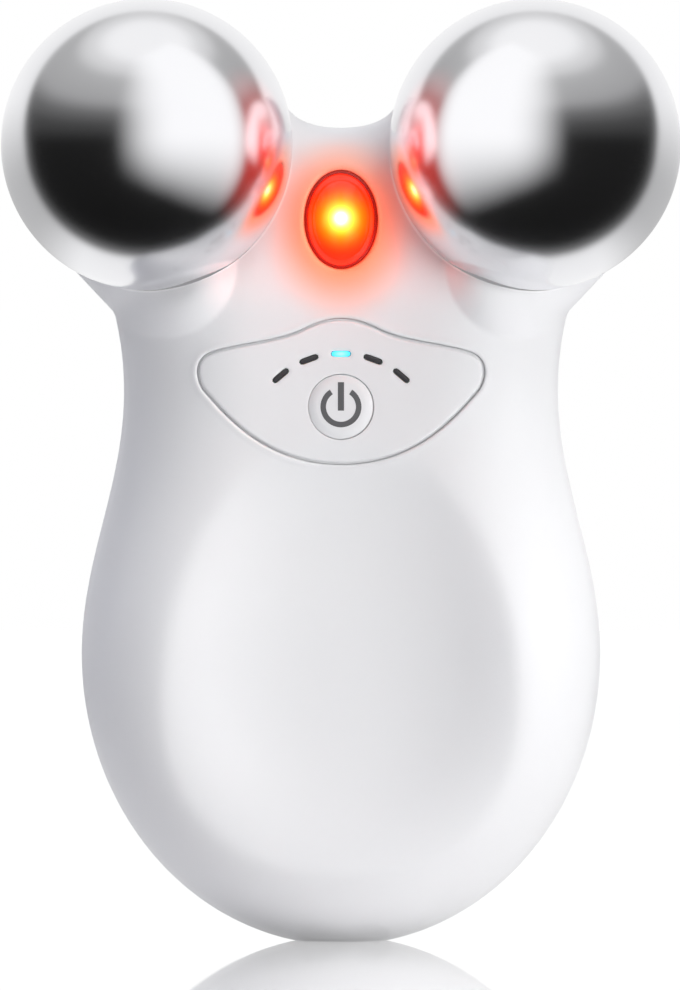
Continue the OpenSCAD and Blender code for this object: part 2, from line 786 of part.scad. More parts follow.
module red_led() {
    color("orange") translate([-red_led_w / 2, -led_board_y - red_led_h, window_z - red_led_w / 2])
        cube([red_led_w, red_led_h, red_led_w]);
}

module led_board() {
    h = led_board_top - led_board_bottom;
    color("darkgreen") difference() {
        plate(2 * led_board_half_w, h, -led_board_y, -led_board_y + board_t, 1,
            [0, led_board_bottom + h / 2]);
        both_sides() rod(led_screw_place, small_screw_r + 0.1, -20, 20);
        both_sides() at_sphere() sphere(cup_out + fit);
    }
}

module led_board_screws() {
    y = -led_board_y + board_t;
    color("silver") both_sides() {
        rod(led_screw_place, small_screw_r, y - board_t - 3, y + tiny);
        rod(led_screw_place, 1.2, y + fit, y + 0.8);
    }
}

module led_leads() {
    y = -led_board_y + board_t + fit;
    z0 = led_board_bottom + 5.6;
    z1 = board_top - 2.6;
    color("red") both_sides() wire([
        [1.5, y, z0], [1.5, y + 1.6, z0], [1.5, y + 1.6, z1], [1.5, board_back + fit, z1]],
        lead_r - play, [1, 0, 0]);
}

module sphere_right() { color("silver") electrode_sphere(); }
module sphere_left() { mirror([1, 0, 0]) sphere_right(); }
module sphere_gasket_right() { color("dimgray") sphere_gasket(); }
module sphere_gasket_left() { mirror([1, 0, 0]) sphere_gasket_right(); }
module sphere_stud_right() { color("silver") sphere_stud(); }
module sphere_stud_left() { mirror([1, 0, 0]) sphere_stud_right(); }
module terminal_lug_right() { color("goldenrod") terminal_lug(); }
module terminal_lug_left() { mirror([1, 0, 0]) terminal_lug_right(); }
module stud_nuts() { color("silver") both_sides() stud_nut(); }
module electrode_lead_right() { color("blue") electrode_lead(); }
module electrode_lead_left() { mirror([1, 0, 0]) electrode_lead_right(); }

module main_board() {
    h = board_top - board_bottom;
    color("darkgreen") difference() {
        plate(2 * board_half_w, h, -board_y, board_back, 2, [0, board_bottom + h / 2]);
        both_sides() for (p = board_screw_places) rod(p, 0.85, -20, 20);
    }
}

// A chip that stands on the main board's front face
module chip(w, h, t, p) {
    translate([p.x - w / 2, -board_y - t, p.y - h / 2]) cube([w, t, h]);
}

// A round part that stands on the main board's back face
module can(r, h, p) {
    rod(p, r, board_back, board_back + h);
}

module controller_chip() { color("black") chip(controller_w, controller_w, chip_t, controller_c); }
module charging_chip() { color("black") chip(charger_w, charger_w, chip_t, charger_c); }
module boost_inductor() { color("gray") can(inductor_r, inductor_h, inductor_c); }
module buzzer() { color("black") can(buzzer_r, buzzer_h, buzzer_c); }

module switch_body() {
    color("gray") difference() {
        chip(switch_w, switch_w, switch_h, button_c);
        rod(button_c, plunger_r + play, -20, -switch_front_y + plunger_in + button_travel + 0.1);
    }
}

module switch_plunger() {
    color("white") rod(button_c, plunger_r, -plunger_tip_y, -switch_front_y + plunger_in);
}

module battery_connector() {
    color("ivory")
        translate([-connector_size.x / 2, board_back, connector_z - connector_size.z / 2])
            cube(connector_size);
}

module battery_cell() {
    color("silver") plate(cell_w, cell_h, cell_y, cell_y + cell_t, 1.5, cell_mid);
}

module battery_tape() {
    color("white") plate(cell_w - 4, cell_h - 5, frame_back, cell_y, 1, cell_mid);
}

module battery_pad() {
    color("gray") plate(cell_w - 4, 2 * pad_post_z + 4, cell_y + cell_t, pad_back, 1, cell_mid);
}

module battery_leads() {
    y = cell_y + cell_t / 2;
    color("red") both_sides() wire([
        [1.3, y, cell_z0 + cell_h + fit], [1.3, y, connector_z],
        [1.3, board_back + connector_size.y + fit, connector_z]], lead_r, [1, 0, 0]);
}

module inner_frame() {
    h = frame_top - frame_bottom;
    color("lightgray") difference() {
        union() {
            plate(2 * board_half_w, h, frame_y, frame_back, 2, [0, frame_bottom + h / 2]);
            for (p = frame_screw_places)
                plate(2 * p.x + 5, 5.6, frame_y, frame_back, 2, [0, p.y]);
            both_sides() for (p = board_screw_places) rod(p, 2.2, board_back, frame_y + 0.5);
        }
        both_sides() for (p = board_screw_places) rod(p, 0.77, board_back - 1, frame_y - 0.6);
        both_sides() for (p = frame_screw_places) rod(p, 1, -20, 20);
        plate(9, 7, -20, 20, 1, [0, connector_z]);
    }
}

module board_screws() {
    color("silver") both_sides() for (p = board_screw_places) {
        rod(p, 0.75, -board_y - tiny, board_back + 4);
        rod(p, 1.6, -board_y - 1, -board_y - fit);
    }
}

module frame_screws() {
    color("silver") both_sides() for (p = frame_screw_places) {
        rod(p, 0.9, frame_y - tiny, frame_back + 5);
        rod(p, 1.7, frame_y - 1.1, frame_y - fit);
    }
}

module port_shell() {
    translate([0, 0, port_z]) color("silver") difference() {
        pill(port_w, port_h, port_base_y, port_mouth_y);
        pill(port_w - 2 * port_metal, port_h - 2 * port_metal, port_base_y + port_metal, 30);
    }
}

module port_tongue() {
    y0 = port_base_y + port_metal;
    translate([0, 0, port_z]) color("black") union() {
        pill(port_w - 2 * port_metal - 0.1, port_h - 2 * port_metal - 0.1, y0, y0 + tongue_base);
        translate([-tongue_w / 2, y0, -tongue_t / 2]) cube([tongue_w, tongue_l, tongue_t]);
    }
}

module port_board() {
    color("darkgreen") difference() {
        plate(port_board_w, port_board_h, port_board_y, port_base_y, 1.5, port_board_mid);
        both_sides() rod(port_screw_place, small_screw_r + 0.1, -20, 20);
    }
}

module port_board_screws() {
    color("silver") both_sides() {
        rod(port_screw_place, small_screw_r, port_board_y - tiny, port_base_y + 3.2);
        rod(port_screw_place, 1.2, port_board_y - 0.8, port_board_y - fit);
    }
}

module port_leads() {
    z0 = port_z + 4.6;
    z1 = board_bottom + 2;
    color("red") both_sides() wire([
        [2, port_board_y - fit, z0], [2, lead_lane_y, z0], [2, lead_lane_y, z1],
        [2, board_back + fit, z1]], lead_r, [1, 0, 0]);
}

front_shell();
rear_shell();
case_screws();
screw_plugs();
control_panel();
panel_adhesive();
power_button();
button_legend();
for (i = [1 : LEVELS]) light_pipes(i);
light_shield();
indicator_leds();
light_window();
window_bezel();
red_led();
led_board();
led_board_screws();
led_leads();
sphere_left();
sphere_right();
sphere_gasket_left();
sphere_gasket_right();
sphere_stud_left();
sphere_stud_right();
terminal_lug_left();
terminal_lug_right();
stud_nuts();
electrode_lead_left();
electrode_lead_right();
main_board();
controller_chip();
charging_chip();
boost_inductor();
buzzer();
switch_body();
switch_plunger();
battery_connector();
battery_cell();
battery_tape();
battery_pad();
battery_leads();
inner_frame();
board_screws();
frame_screws();
port_shell();
port_tongue();
port_board();
port_board_screws();
port_leads();
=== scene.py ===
# %% [markdown]
# # A hand-held facial toning device
# The device is a white, pear-shaped plastic casing that carries two polished metal spheres, a red
# light window between them and a small control panel with a power button and five level windows.
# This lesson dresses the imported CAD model: each cell makes one piece or one finish. The CAD frame
# is loaded first, because every piece has to ride on one of its bodies.

# %% Load the frame
import json
import math

import bmesh
import bpy
import numpy as np
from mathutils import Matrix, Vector
from mathutils.geometry import delaunay_2d_cdt
from mathutils.kdtree import KDTree


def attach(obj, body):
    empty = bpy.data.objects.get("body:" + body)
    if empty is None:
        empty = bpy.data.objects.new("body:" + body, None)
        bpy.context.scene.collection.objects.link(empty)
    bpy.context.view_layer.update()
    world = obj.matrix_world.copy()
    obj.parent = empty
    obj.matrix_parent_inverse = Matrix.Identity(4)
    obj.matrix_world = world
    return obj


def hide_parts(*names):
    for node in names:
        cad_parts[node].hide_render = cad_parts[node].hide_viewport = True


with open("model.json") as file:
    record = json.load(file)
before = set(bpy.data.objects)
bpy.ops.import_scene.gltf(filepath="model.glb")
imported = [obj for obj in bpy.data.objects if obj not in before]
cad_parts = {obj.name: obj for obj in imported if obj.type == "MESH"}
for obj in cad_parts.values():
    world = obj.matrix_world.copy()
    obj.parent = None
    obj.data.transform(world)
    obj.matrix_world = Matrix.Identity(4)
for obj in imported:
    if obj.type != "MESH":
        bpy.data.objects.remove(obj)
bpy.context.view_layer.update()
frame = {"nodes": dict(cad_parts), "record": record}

MM = 0.001

# %% [markdown]
# ## Small tools
# Colours are written as hex values, as a designer picks them, and one function turns them into the
# linear values that shaders work in. One function feeds a node's inputs, and one adds a node with its
# settings and its links, so a material reads as a short list. Another turns points in millimetres
# into a mesh object in metres.

# %% Colours, nodes and meshes
def linear(hex_code):
    """An sRGB hex colour as a linear RGBA tuple."""
    parts = [int(hex_code[i:i + 2], 16) / 255 for i in (1, 3, 5)]
    return tuple(c / 12.92 if c <= 0.04045 else ((c + 0.055) / 1.055) ** 2.4 for c in parts) + (1,)


def feed(tree, node, values):
    """Gives inputs of a node their values, or what feeds them: a socket, or a node's first output."""
    for key, value in values.items():
        value = value.outputs[0] if isinstance(value, bpy.types.Node) else value
        if isinstance(value, bpy.types.NodeSocket):
            tree.links.new(value, node.inputs[key])
        else:
            node.inputs[key].default_value = value


def add_node(tree, kind, values=None, **settings):
    """Adds a node with its settings, and feeds its inputs."""
    node = tree.nodes.new(kind)
    for name, value in settings.items():
        setattr(node, name, value)
    feed(tree, node, values or {})
    return node


def new_piece(name, points_mm, faces, smooth=True):
    """A mesh object at the origin, from points in millimetres."""
    mesh = bpy.data.meshes.new(name)
    mesh.from_pydata((np.asarray(points_mm, float) * MM).tolist(), [], [list(map(int, f)) for f in faces])
    mesh.validate()
    if smooth:
        mesh.shade_smooth()
    piece = bpy.data.objects.new(name, mesh)
    bpy.context.scene.collection.objects.link(piece)
    return piece


def crisp(piece, degrees=35):
    """Keeps edges sharper than `degrees` crisp under smooth shading."""
    piece.data.set_sharp_from_angle(angle=math.radians(degrees))


def report(piece):
    piece.data.calc_loop_triangles()
    print(f"{piece.name}: {len(piece.data.vertices)} points, {len(piece.data.loop_triangles)} triangles")


# %% [markdown]
# ## The outline of the casing
# Seen from the front, the casing is one smooth line: a wide egg, a slim neck, a flank that flares
# out under each sphere, a round lobe behind each sphere and a saddle between the lobes. The line
# comes from the same sizes as the CAD model. It could be drawn by hand as a curve, but rules keep
# both sides alike and let every other piece find its place from it.

# %% Outline
SADDLE_Z, BULB_HALF_W, BULB_Z, BASE_CUT = 86.5, 27.6, 30.5, 0.5
NECK_HALF_W, NECK_Z, COLLAR_FLARE, COLLAR_RISE = 23.1, 58.5, 1.0, 8.3
FLARE_ANGLE = math.radians(46.7)
SPHERE_R, SPHERE_X, SPHERE_FWD, SPHERE_Z = 15.4, 20.5, 9.5, 84.4
LOBE_R = SPHERE_R - 0.2
LOBE_END = math.radians(160)
BULB_DOWN = BULB_Z + BASE_CUT
collar = np.array([NECK_HALF_W + COLLAR_FLARE, NECK_Z + COLLAR_RISE])
lobe_c = np.array([SPHERE_X, SPHERE_Z])


def smooth_step(v):
    c = np.clip(v, 0, 1)
    return c * c * (3 - 2 * c)


def half_outline(fine):
    """The right half of the outline as [x, z] points, from the base up to the saddle."""
    u = np.linspace(0, np.pi / 2, 14 * fine, endpoint=False)
    base = np.c_[BULB_HALF_W * np.sin(u), BULB_Z - BULB_DOWN * np.cos(u)]
    u = np.linspace(0, 1, 9 * fine, endpoint=False)
    flank = np.c_[NECK_HALF_W + (BULB_HALF_W - NECK_HALF_W) * (1 + np.cos(np.pi * u)) / 2,
                  BULB_Z + (NECK_Z - BULB_Z) * u]
    u = np.linspace(0, 1, 4 * fine, endpoint=False)
    neck = np.c_[NECK_HALF_W + COLLAR_FLARE * u * u, NECK_Z + COLLAR_RISE * u]
    direction = np.array([np.cos(FLARE_ANGLE), np.sin(FLARE_ANGLE)])
    near = (lobe_c - collar) @ direction
    miss = np.linalg.norm(lobe_c - collar - near * direction)
    run = near - np.sqrt(LOBE_R ** 2 - miss ** 2)
    flare = collar + np.linspace(0, run, 3 * fine, endpoint=False)[:, None] * direction
    joint = collar + run * direction - lobe_c
    u = np.linspace(np.arctan2(joint[1], joint[0]), LOBE_END, 22 * fine, endpoint=False)
    lobe = lobe_c + LOBE_R * np.c_[np.cos(u), np.sin(u)]
    end = lobe_c + LOBE_R * np.array([np.cos(LOBE_END), np.sin(LOBE_END)])
    ctrl = np.array([end[0] - (end[1] - SADDLE_Z) * np.tan(np.pi - LOBE_END), SADDLE_Z])
    t = np.linspace(0, 1, 5 * fine + 1)[:, None]
    saddle = (1 - t) ** 2 * end + 2 * t * (1 - t) * ctrl + t * t * np.array([0, SADDLE_Z])
    return np.vstack([base, flank, neck, flare, lobe, saddle])


def evenly(line, step):
    """The points of a line, spread evenly about `step` apart."""
    length = np.r_[0, np.cumsum(np.linalg.norm(np.diff(line, axis=0), axis=1))]
    at = np.linspace(0, length[-1], max(int(round(length[-1] / step)), 2) + 1)
    return np.c_[np.interp(at, length, line[:, 0]), np.interp(at, length, line[:, 1])]


def distance_to(line, points, closed=False):
    """The distance of each point from a line of [x, z] points."""
    a = line if closed else line[:-1]
    b = np.roll(line, -1, axis=0) if closed else line[1:]
    ab = b - a
    out = np.empty(len(points))
    for i in range(0, len(points), 4000):
        ap = points[i:i + 4000, None] - a
        t = np.clip((ap * ab).sum(2) / (ab * ab).sum(1), 0, 1)
        out[i:i + 4000] = np.sqrt(((ap - t[..., None] * ab) ** 2).sum(2).min(1))
    return out


smooth_half = half_outline(8)
print("half outline:", len(smooth_half), "points, widest", smooth_half[:, 0].max().round(2), "mm")

# %% [markdown]
# ## The depth of the casing
# Each half of the casing is a height over that outline. Near the edge it rounds over like a river
# pebble. The front also has a valley beside its middle ridge, a swelling under each sphere, and the
# shallow spoon-shaped thumb rest. A subdivision surface could be pushed into this shape by hand,
# but a height rule gives clean reflections, and it's the rule that the CAD solid follows.

# %% Depth rules
ROUND_FRONT, ROUND_BACK, SEAM = 14.0, 14.0, 0.05
SOCKET_TIP, SOCKET_TIP_R, SOCKET_H, SOCKET_RUN = lobe_c - [1.8, 12.9], 7.6, 2.2, 4.0
REST_HALF_W, REST_Z, REST_DOWN, REST_UP, REST_DEPTH = 18.8, 24.5, 17.5, 28.0, 3.9
FRONT_DEPTHS = 12.6, 13.0, 10.2, 10.4  # at the base, the bulb, the neck and the head
REAR_DEPTHS = 14.0, 18.0, 12.8, 12.6


def soft_max0(v, soft):
    return (v + np.sqrt(v * v + soft)) / 2


def round_over(s):
    return np.sqrt(np.maximum(1 - (1 - np.clip(s, 0, 1)) ** 2.3, 0))


def depth_along(z, base, bulb, neck, head):
    low = bulb + (base - bulb) * ((BULB_Z - z) / BULB_DOWN) ** 2
    mid = neck + (bulb - neck) * (1 + np.cos(np.pi * (z - BULB_Z) / (NECK_Z - BULB_Z))) / 2
    top = neck + (head - neck) * smooth_step((z - NECK_Z) / (SADDLE_Z - NECK_Z))
    return np.where(z < BULB_Z, low, np.where(z < NECK_Z, mid, top))


def valley(x, z):
    return 3.5 * smooth_step((z - collar[1]) / 12) * (1 - np.exp(-(x / 6.5) ** 2))


def socket_shape():
    """The housing under a sphere, seen from the front: its axis, and how much wider it grows along it."""
    return lobe_c - SOCKET_TIP, LOBE_R - 1.2 - SOCKET_TIP_R


def socket_depth(p):
    """How far each point lies inside the housing under its sphere, in millimetres."""
    axis, grows = socket_shape()
    q = np.c_[np.abs(p[:, 0]), p[:, 1]] - SOCKET_TIP
    t = np.clip(q @ axis / (axis @ axis), 0, 1)
    return SOCKET_TIP_R + grows * t - np.linalg.norm(q - t[:, None] * axis, axis=1)


def thumb_rest(x, z):
    reach = np.where(z < REST_Z, REST_DOWN, REST_UP)
    q = ((np.abs(x) / REST_HALF_W) ** 2.2 + (np.abs(z - REST_Z) / reach) ** 2.2) ** (1 / 2.2)
    return REST_DEPTH * soft_max0(1 - q ** 2.5, 0.015)


def edge_distance(p):
    return distance_to(smooth_half, np.c_[np.abs(p[:, 0]), p[:, 1]])


def front_depth(p):
    p = np.atleast_2d(np.asarray(p, float))
    x, z = p.T
    swell = SOCKET_H * np.sin(np.pi / 2 * np.clip(soft_max0(socket_depth(p) / SOCKET_RUN, 0.002), 0, 1))
    form = depth_along(z, *FRONT_DEPTHS) - valley(x, z) + swell
    return np.maximum(form * round_over(edge_distance(p) / ROUND_FRONT) - thumb_rest(x, z), 0)


def rear_depth(p):
    p = np.atleast_2d(np.asarray(p, float))
    form = depth_along(p[:, 1], *REAR_DEPTHS)
    return form * round_over(edge_distance(p) / ROUND_BACK)


for label, place in (("panel", (0, 60)), ("thumb rest", (0, 25)), ("saddle", (0, 84))):
    in_front, behind = front_depth(place)[0], rear_depth(place)[0]
    print(f"{label}: {in_front:.2f} mm in front and {behind:.2f} mm behind the seam")

# %% [markdown]
# ## A skin over an outline
# A moulded shell is a smooth outer face, an inner face a wall's thickness away, and narrow faces
# round its rim and its openings. The outer face is made of triangles between chosen points: rows
# that hug every edge, so that its rounding is crisp, and a loose grid elsewhere. Blender's
# constrained Delaunay call joins them and keeps each opening's edge. A boolean cut would be quicker
# to write, but it leaves slivers that show as dents in a gloss finish.

# %% Skin tools
def inside(loop, points):
    """Which points lie inside a closed loop."""
    out = np.zeros(len(points), bool)
    a, b = loop, np.roll(loop, -1, axis=0)
    for (ax, az), (bx, bz) in zip(a, b):
        if az != bz:
            cross = (az > points[:, 1]) != (bz > points[:, 1])
            out ^= cross & (points[:, 0] < (bx - ax) * (points[:, 1] - az) / (bz - az) + ax)
    return out


def grown(loop, by):
    """A closed loop (anticlockwise, x right and z up), moved outwards by `by`."""
    along = np.roll(loop, -1, axis=0) - np.roll(loop, 1, axis=0)
    along /= np.linalg.norm(along, axis=1)[:, None]
    return loop + by * np.c_[along[:, 1], -along[:, 0]]


def triangulate(points, loops, outer, holes):
    """Triangles between points, keeping the loops' edges, inside `outer` and outside `holes`."""
    edges = [(l[i], l[(i + 1) % len(l)]) for l in loops for i in range(len(l))]
    verts, _, faces, origins, _, _ = delaunay_2d_cdt([Vector(p) for p in points], edges, [], 0, 1e-6)
    assert len(verts) == len(points), "points of the skin coincide or cross"
    back = np.array([o[0] for o in origins])
    faces = back[np.array([list(f) for f in faces])]
    mid = points[faces].mean(1)
    keep = inside(outer, mid)
    for hole in holes:
        keep &= ~inside(hole, mid)
    faces = faces[keep]
    a, b, c = points[faces[:, 0]], points[faces[:, 1]], points[faces[:, 2]]
    clockwise = np.cross(b - a, c - a) < 0
    faces[clockwise] = faces[clockwise][:, ::-1]
    return faces


def face_normals(points, faces):
    a, b, c = (points[faces[:, i]] for i in range(3))
    return np.cross(b - a, c - a)


def point_normals(points, faces):
    """Unit normals of a triangle mesh at its points, weighted by area."""
    total = np.zeros_like(points)
    flat = face_normals(points, faces)
    for i in range(3):
        np.add.at(total, faces[:, i], flat)
    return total / np.maximum(np.linalg.norm(total, axis=1), 1e-12)[:, None]


def strip(row_a, row_b, closed=True):
    """Faces between two rows of point numbers. A quad whose points coincide becomes a triangle."""
    n = len(row_a) if closed else len(row_a) - 1
    quads = [[row_a[i], row_a[(i + 1) % len(row_a)], row_b[(i + 1) % len(row_b)], row_b[i]]
             for i in range(n)]
    faces = [list(dict.fromkeys(quad)) for quad in quads]
    return [face for face in faces if len(face) > 2]


def strips(rows, closed=True, flip=False):
    """Faces between each row of point numbers and the next."""
    faces = [face for a, b in zip(rows[:-1], rows[1:]) for face in strip(a, b, closed)]
    return [face[::-1] for face in faces] if flip else faces


def rows_from(start, length, count):
    """The point numbers of `count` rows, each `length` long, from `start` on."""
    return list(np.arange(start, start + length * count).reshape(count, length))


def lifted(xz, y):
    """Points [x, y, z] from [x, z] points and one y, or a y for each."""
    return np.c_[xz[:, 0], np.broadcast_to(y, len(xz)), xz[:, 1]]


GRID = 0.62
RIM_ROWS = [(k * 0.135) ** 2 for k in range(1, 10)]


def casing_loop(step=0.6):
    """The casing's outline, anticlockwise from the right end of the base flat."""
    right = smooth_half[smooth_half[:, 1] > 0]
    start = math.sqrt(1 - (BULB_Z / BULB_DOWN) ** 2) * BULB_HALF_W
    right = evenly(np.vstack([[start, 0], right]), step)
    left = right[-2::-1] * [-1, 1]
    flat = np.linspace(-start, start, int(2 * start / 0.5) + 1)[1:-1]
    return np.vstack([right, left]), np.c_[flat, np.zeros(len(flat))]


def rim_rows(loop):
    """Rows of points just inside the outline, closer together where the surface turns steep."""
    rows = [grown(loop, -d) for d in RIM_ROWS]
    return np.vstack([row[row[:, 1] > 0.12] for row in rows])


def loose_grid(step):
    """A grid of staggered points over the whole casing."""
    rows = np.arange(0.3, 100, step * 0.866)
    return np.vstack([
        np.c_[np.arange(-36, 36, step) + (i % 2) * step / 2, np.full(math.ceil(72 / step), z)]
        for i, z in enumerate(rows)])


edge_loop, base_row = casing_loop()
print("casing loop:", len(edge_loop), "points, base flat", round(float(edge_loop[0, 0] * 2), 2), "mm wide")

# %% [markdown]
# ## The front shell
# The front half of the casing is an injection-moulded ABS shell. It has a recess for the control
# panel, an oval opening for the light and a deep round cup for each sphere. The rim of a cup is
# where the outer face meets the cup's ball, so its points are found by walking outwards from the
# sphere's middle. The cup then runs back as a bowl, and the recess has a step that carries the panel.

# %% Control panel outline
PANEL_HALF_W, PANEL_Z, PANEL_UP, PANEL_DOWN, GROOVE = 15.5, 60.8, 5.0, 9.95, 0.25


def bezier(a, b, c, d, n):
    t = np.linspace(0, 1, n, endpoint=False)[:, None]
    a, b, c, d = (np.array(p, float) for p in (a, b, c, d))
    return (1 - t) ** 3 * a + 3 * t * (1 - t) ** 2 * b + 3 * t * t * (1 - t) * c + t ** 3 * d


def panel_outline(step):
    """The panel's outline: four curves from its lowest point round the right tip to its top."""
    low, high = PANEL_Z - PANEL_DOWN, PANEL_Z + PANEL_UP
    at = lambda dx, dz: (PANEL_HALF_W + dx, PANEL_Z + dz)
    shoulder = (3.6, PANEL_Z + 4.1)
    right = np.vstack([
        bezier((0, low), (8.2, low), (12.2, PANEL_Z - 4.6), at(-1.1, -2.2), 60),
        bezier(at(-1.1, -2.2), at(-0.3, -0.9), at(-0.2, 0.9), at(-1.9, 1.5), 40),
        bezier(at(-1.9, 1.5), at(-5, 2.5), (6.2, PANEL_Z + 2.6), shoulder, 40),
        bezier(shoulder, (2.2, PANEL_Z + 4.75), (1.2, high), (0, high), 20), [[0, high]]])
    right = evenly(right, step)
    return np.vstack([right, right[-2:0:-1] * [-1, 1]])


def lip(distance, radius):
    """How far an edge's rounding sinks the face at a distance from the edge."""
    t = 1 - np.clip(distance / radius, 0, 1)
    return radius * (1 - np.sqrt(np.maximum(1 - t * t, 0)))


panel_ring = panel_outline(0.34)
print("panel outline:", len(panel_ring), "points,", np.ptp(panel_ring[:, 0]).round(2), "mm wide")

# %% Window opening and cup rims
WINDOW_A, WINDOW_B, WINDOW_Z, CHAMFER = 3.9, 5.25, 76.5, 0.137
CUP_R = SPHERE_R + 0.06
window_c = np.array([0, WINDOW_Z])


def oval(half_w, half_h, n=96):
    """A closed oval round the window's middle."""
    u = np.linspace(0, 2 * np.pi, n, endpoint=False)
    return window_c + np.c_[half_w * np.cos(u), half_h * np.sin(u)]


def window_row(scale, n=72):
    """A row of points round the window's opening."""
    return oval(scale * WINDOW_A, scale * WINDOW_B, n)


def outside_cup(p, depth):
    """The distance of the front face's points from the cups' inner wall."""
    across = np.hypot(np.abs(p[:, 0]) - SPHERE_X, p[:, 1] - SPHERE_Z)
    return np.hypot(across, np.maximum(SPHERE_FWD - SEAM - depth, 0)) - CUP_R


def cup_rim(n=184):
    """The right cup's rim as [x, z] points: where the front face meets the cup."""
    u = np.linspace(0, 2 * np.pi, n, endpoint=False)
    way = np.c_[np.cos(u), np.sin(u)]
    near, far = np.full(n, 9.0), np.full(n, CUP_R + 0.3)
    for _ in range(24):
        r = (near + far) / 2
        p = lobe_c + r[:, None] * way
        free = outside_cup(p, front_depth(p)) > 0
        near, far = np.where(free, near, r), np.where(free, r, far)
    return lobe_c + ((near + far) / 2)[:, None] * way


right_rim = cup_rim()
left_rim = (right_rim * [-1, 1])[::-1]
reach = np.linalg.norm(right_rim - lobe_c, axis=1)
print("cup rim:", reach.min().round(2), "to", reach.max().round(2), "mm from the sphere's axis")

# %% [markdown]
# The points are gathered in groups. Each group that belongs to an edge also says how far that edge's
# rounding sinks it. A loose point is left out where it comes too close to a row that is already there.

# %% Front face
WALL, LIP_WALL, BOWL_WALL = 1.3, 0.42, 0.3
PANEL_FLOOR, FLOOR_BACK, LEDGE = 8.2, 7.0, 1.25
RECESS_BEAD, RECESS_ROWS = 0.07, (0, 0.03, 0.1, 0.2, 0.34, 0.5, 0.68, 0.9)
CHAMFER_ROWS = (0, 0.08, 0.3, 0.6, 1.0)
BOWL_ROWS = 13


def gather(groups, loose, keep_away):
    """Stacks groups of points, then the loose points that lie clear of them."""
    pts = np.vstack(groups)
    tree = KDTree(len(pts))
    for i, p in enumerate(pts):
        tree.insert((p[0], p[1], 0), i)
    tree.balance()
    clear = [tree.find((p[0], p[1], 0))[2] > keep_away for p in loose]
    starts = np.cumsum([0] + [len(g) for g in groups])
    return np.vstack([pts, loose[clear]]), [np.arange(a, b) for a, b in zip(starts[:-1], starts[1:])]


def crease_rows():
    """Rows along the crease under each sphere housing, right and left."""
    axis, grows = socket_shape()
    length = np.linalg.norm(axis)
    along, side = axis / length, np.array([axis[1], -axis[0]]) / length
    tilt = math.asin(grows / length)
    u = np.linspace(-np.pi / 2 + tilt, np.pi / 2 - tilt, 40)[:, None]
    t = np.linspace(0.03, 1, 34)[:, None]
    rows = []
    for off in (-0.35, -0.12, 0.1, 0.32, 0.7):
        row = [SOCKET_TIP + (SOCKET_TIP_R - off) * (np.sin(u) * side - np.cos(u) * along)]
        for s in (-1, 1):
            way = s * math.cos(tilt) * side - math.sin(tilt) * along
            row.append(SOCKET_TIP + t * axis + (SOCKET_TIP_R + grows * t - off) * way)
        row = np.vstack(row)
        rows += [row, row * [-1, 1]]
    return rows


def recess_sink(d):
    """The recess has a soft bead round it: the face rises a little before it rolls into the groove."""
    return lip(d, 0.2) - RECESS_BEAD * smooth_step(d / 0.3) * smooth_step((0.9 - d) / 0.5)


def on_casing(rows, grid, grid_margin):
    """Joins rows and grid points that lie on the casing, the grid's only clear of the outline's rows."""
    points = np.vstack([rows, grid])
    is_row = np.arange(len(points)) < len(rows)
    ok = inside(edge_loop, points) & (points[:, 1] > 0.1)
    return points[ok & (is_row | (edge_distance(points) > RIM_ROWS[-1] + grid_margin))]


def front_face():
    """The front face's groups of points that belong to an edge, and its loose points."""
    groups = [edge_loop, base_row, *(grown(panel_ring, GROOVE + d) for d in RECESS_ROWS),
              *(window_row(1 + CHAMFER * t) for t in CHAMFER_ROWS), window_row(1.24, 64),
              right_rim, left_rim]
    loose = on_casing(np.vstack([rim_rows(edge_loop), *crease_rows()]), loose_grid(GRID), 0.35)
    ok = ~inside(grown(panel_ring, GROOVE + RECESS_ROWS[-1] + 0.15), loose)
    loose = loose[ok & ~inside(window_row(1 + CHAMFER), loose)]
    return groups, loose[outside_cup(loose, front_depth(loose)) > 0.12]


def thin_out(points, least):
    """Drops points that lie closer than `least` to one kept before."""
    cells, kept = {}, []
    for i, (x, z) in enumerate(points):
        cx, cz = int(x // least), int(z // least)
        near = (j for a in (-1, 0, 1) for b in (-1, 0, 1) for j in cells.get((cx + a, cz + b), ()))
        if all((points[j][0] - x) ** 2 + (points[j][1] - z) ** 2 >= least * least for j in near):
            cells.setdefault((cx, cz), []).append(i)
            kept.append(i)
    return points[kept]

# %% Front shell mesh
def shell_mesh(flat, faces, y_out, y_in_of, side, openings):
    """Joins an outer face, its inner face and the walls of its openings into one mesh."""
    n = len(flat)
    outer = lifted(flat, y_out)
    tris = faces if side < 0 else faces[:, ::-1]
    points = np.vstack([outer, y_in_of(outer, point_normals(outer, tris))])
    polys = [list(f) for f in tris] + [list(f[::-1] + n) for f in tris]
    for ring in openings:
        polys += strips([ring, ring + n], flip=side < 0)
    return points, polys


def straighten(inner, straight, near):
    """Turns an inner face to a straight wall, by how near each point is to an opening."""
    near = smooth_step(near)[:, None]
    return inner * (1 - near) + straight * near


def close_base(points, polys, edge, base, n, side):
    """Closes the flat base up to the seam, and the rim between a shell's outer and inner face."""
    steps, count = 5, len(base)
    x, y = points[base, 0], points[base, 1]
    extra = [np.c_[x, y * (1 - k / steps) + side * SEAM * k / steps, np.zeros(count)]
             for k in range(1, steps + 1)]
    rows = [np.r_[edge[-1], row, edge[0]] for row in [base, *rows_from(len(points), count, steps)]]
    faces = strips(rows, closed=False) + strip(np.r_[edge, rows[-1][1:-1]], np.r_[edge + n, base + n])
    polys += [face[::-1] for face in faces] if side > 0 else faces
    return np.vstack([points, *extra])


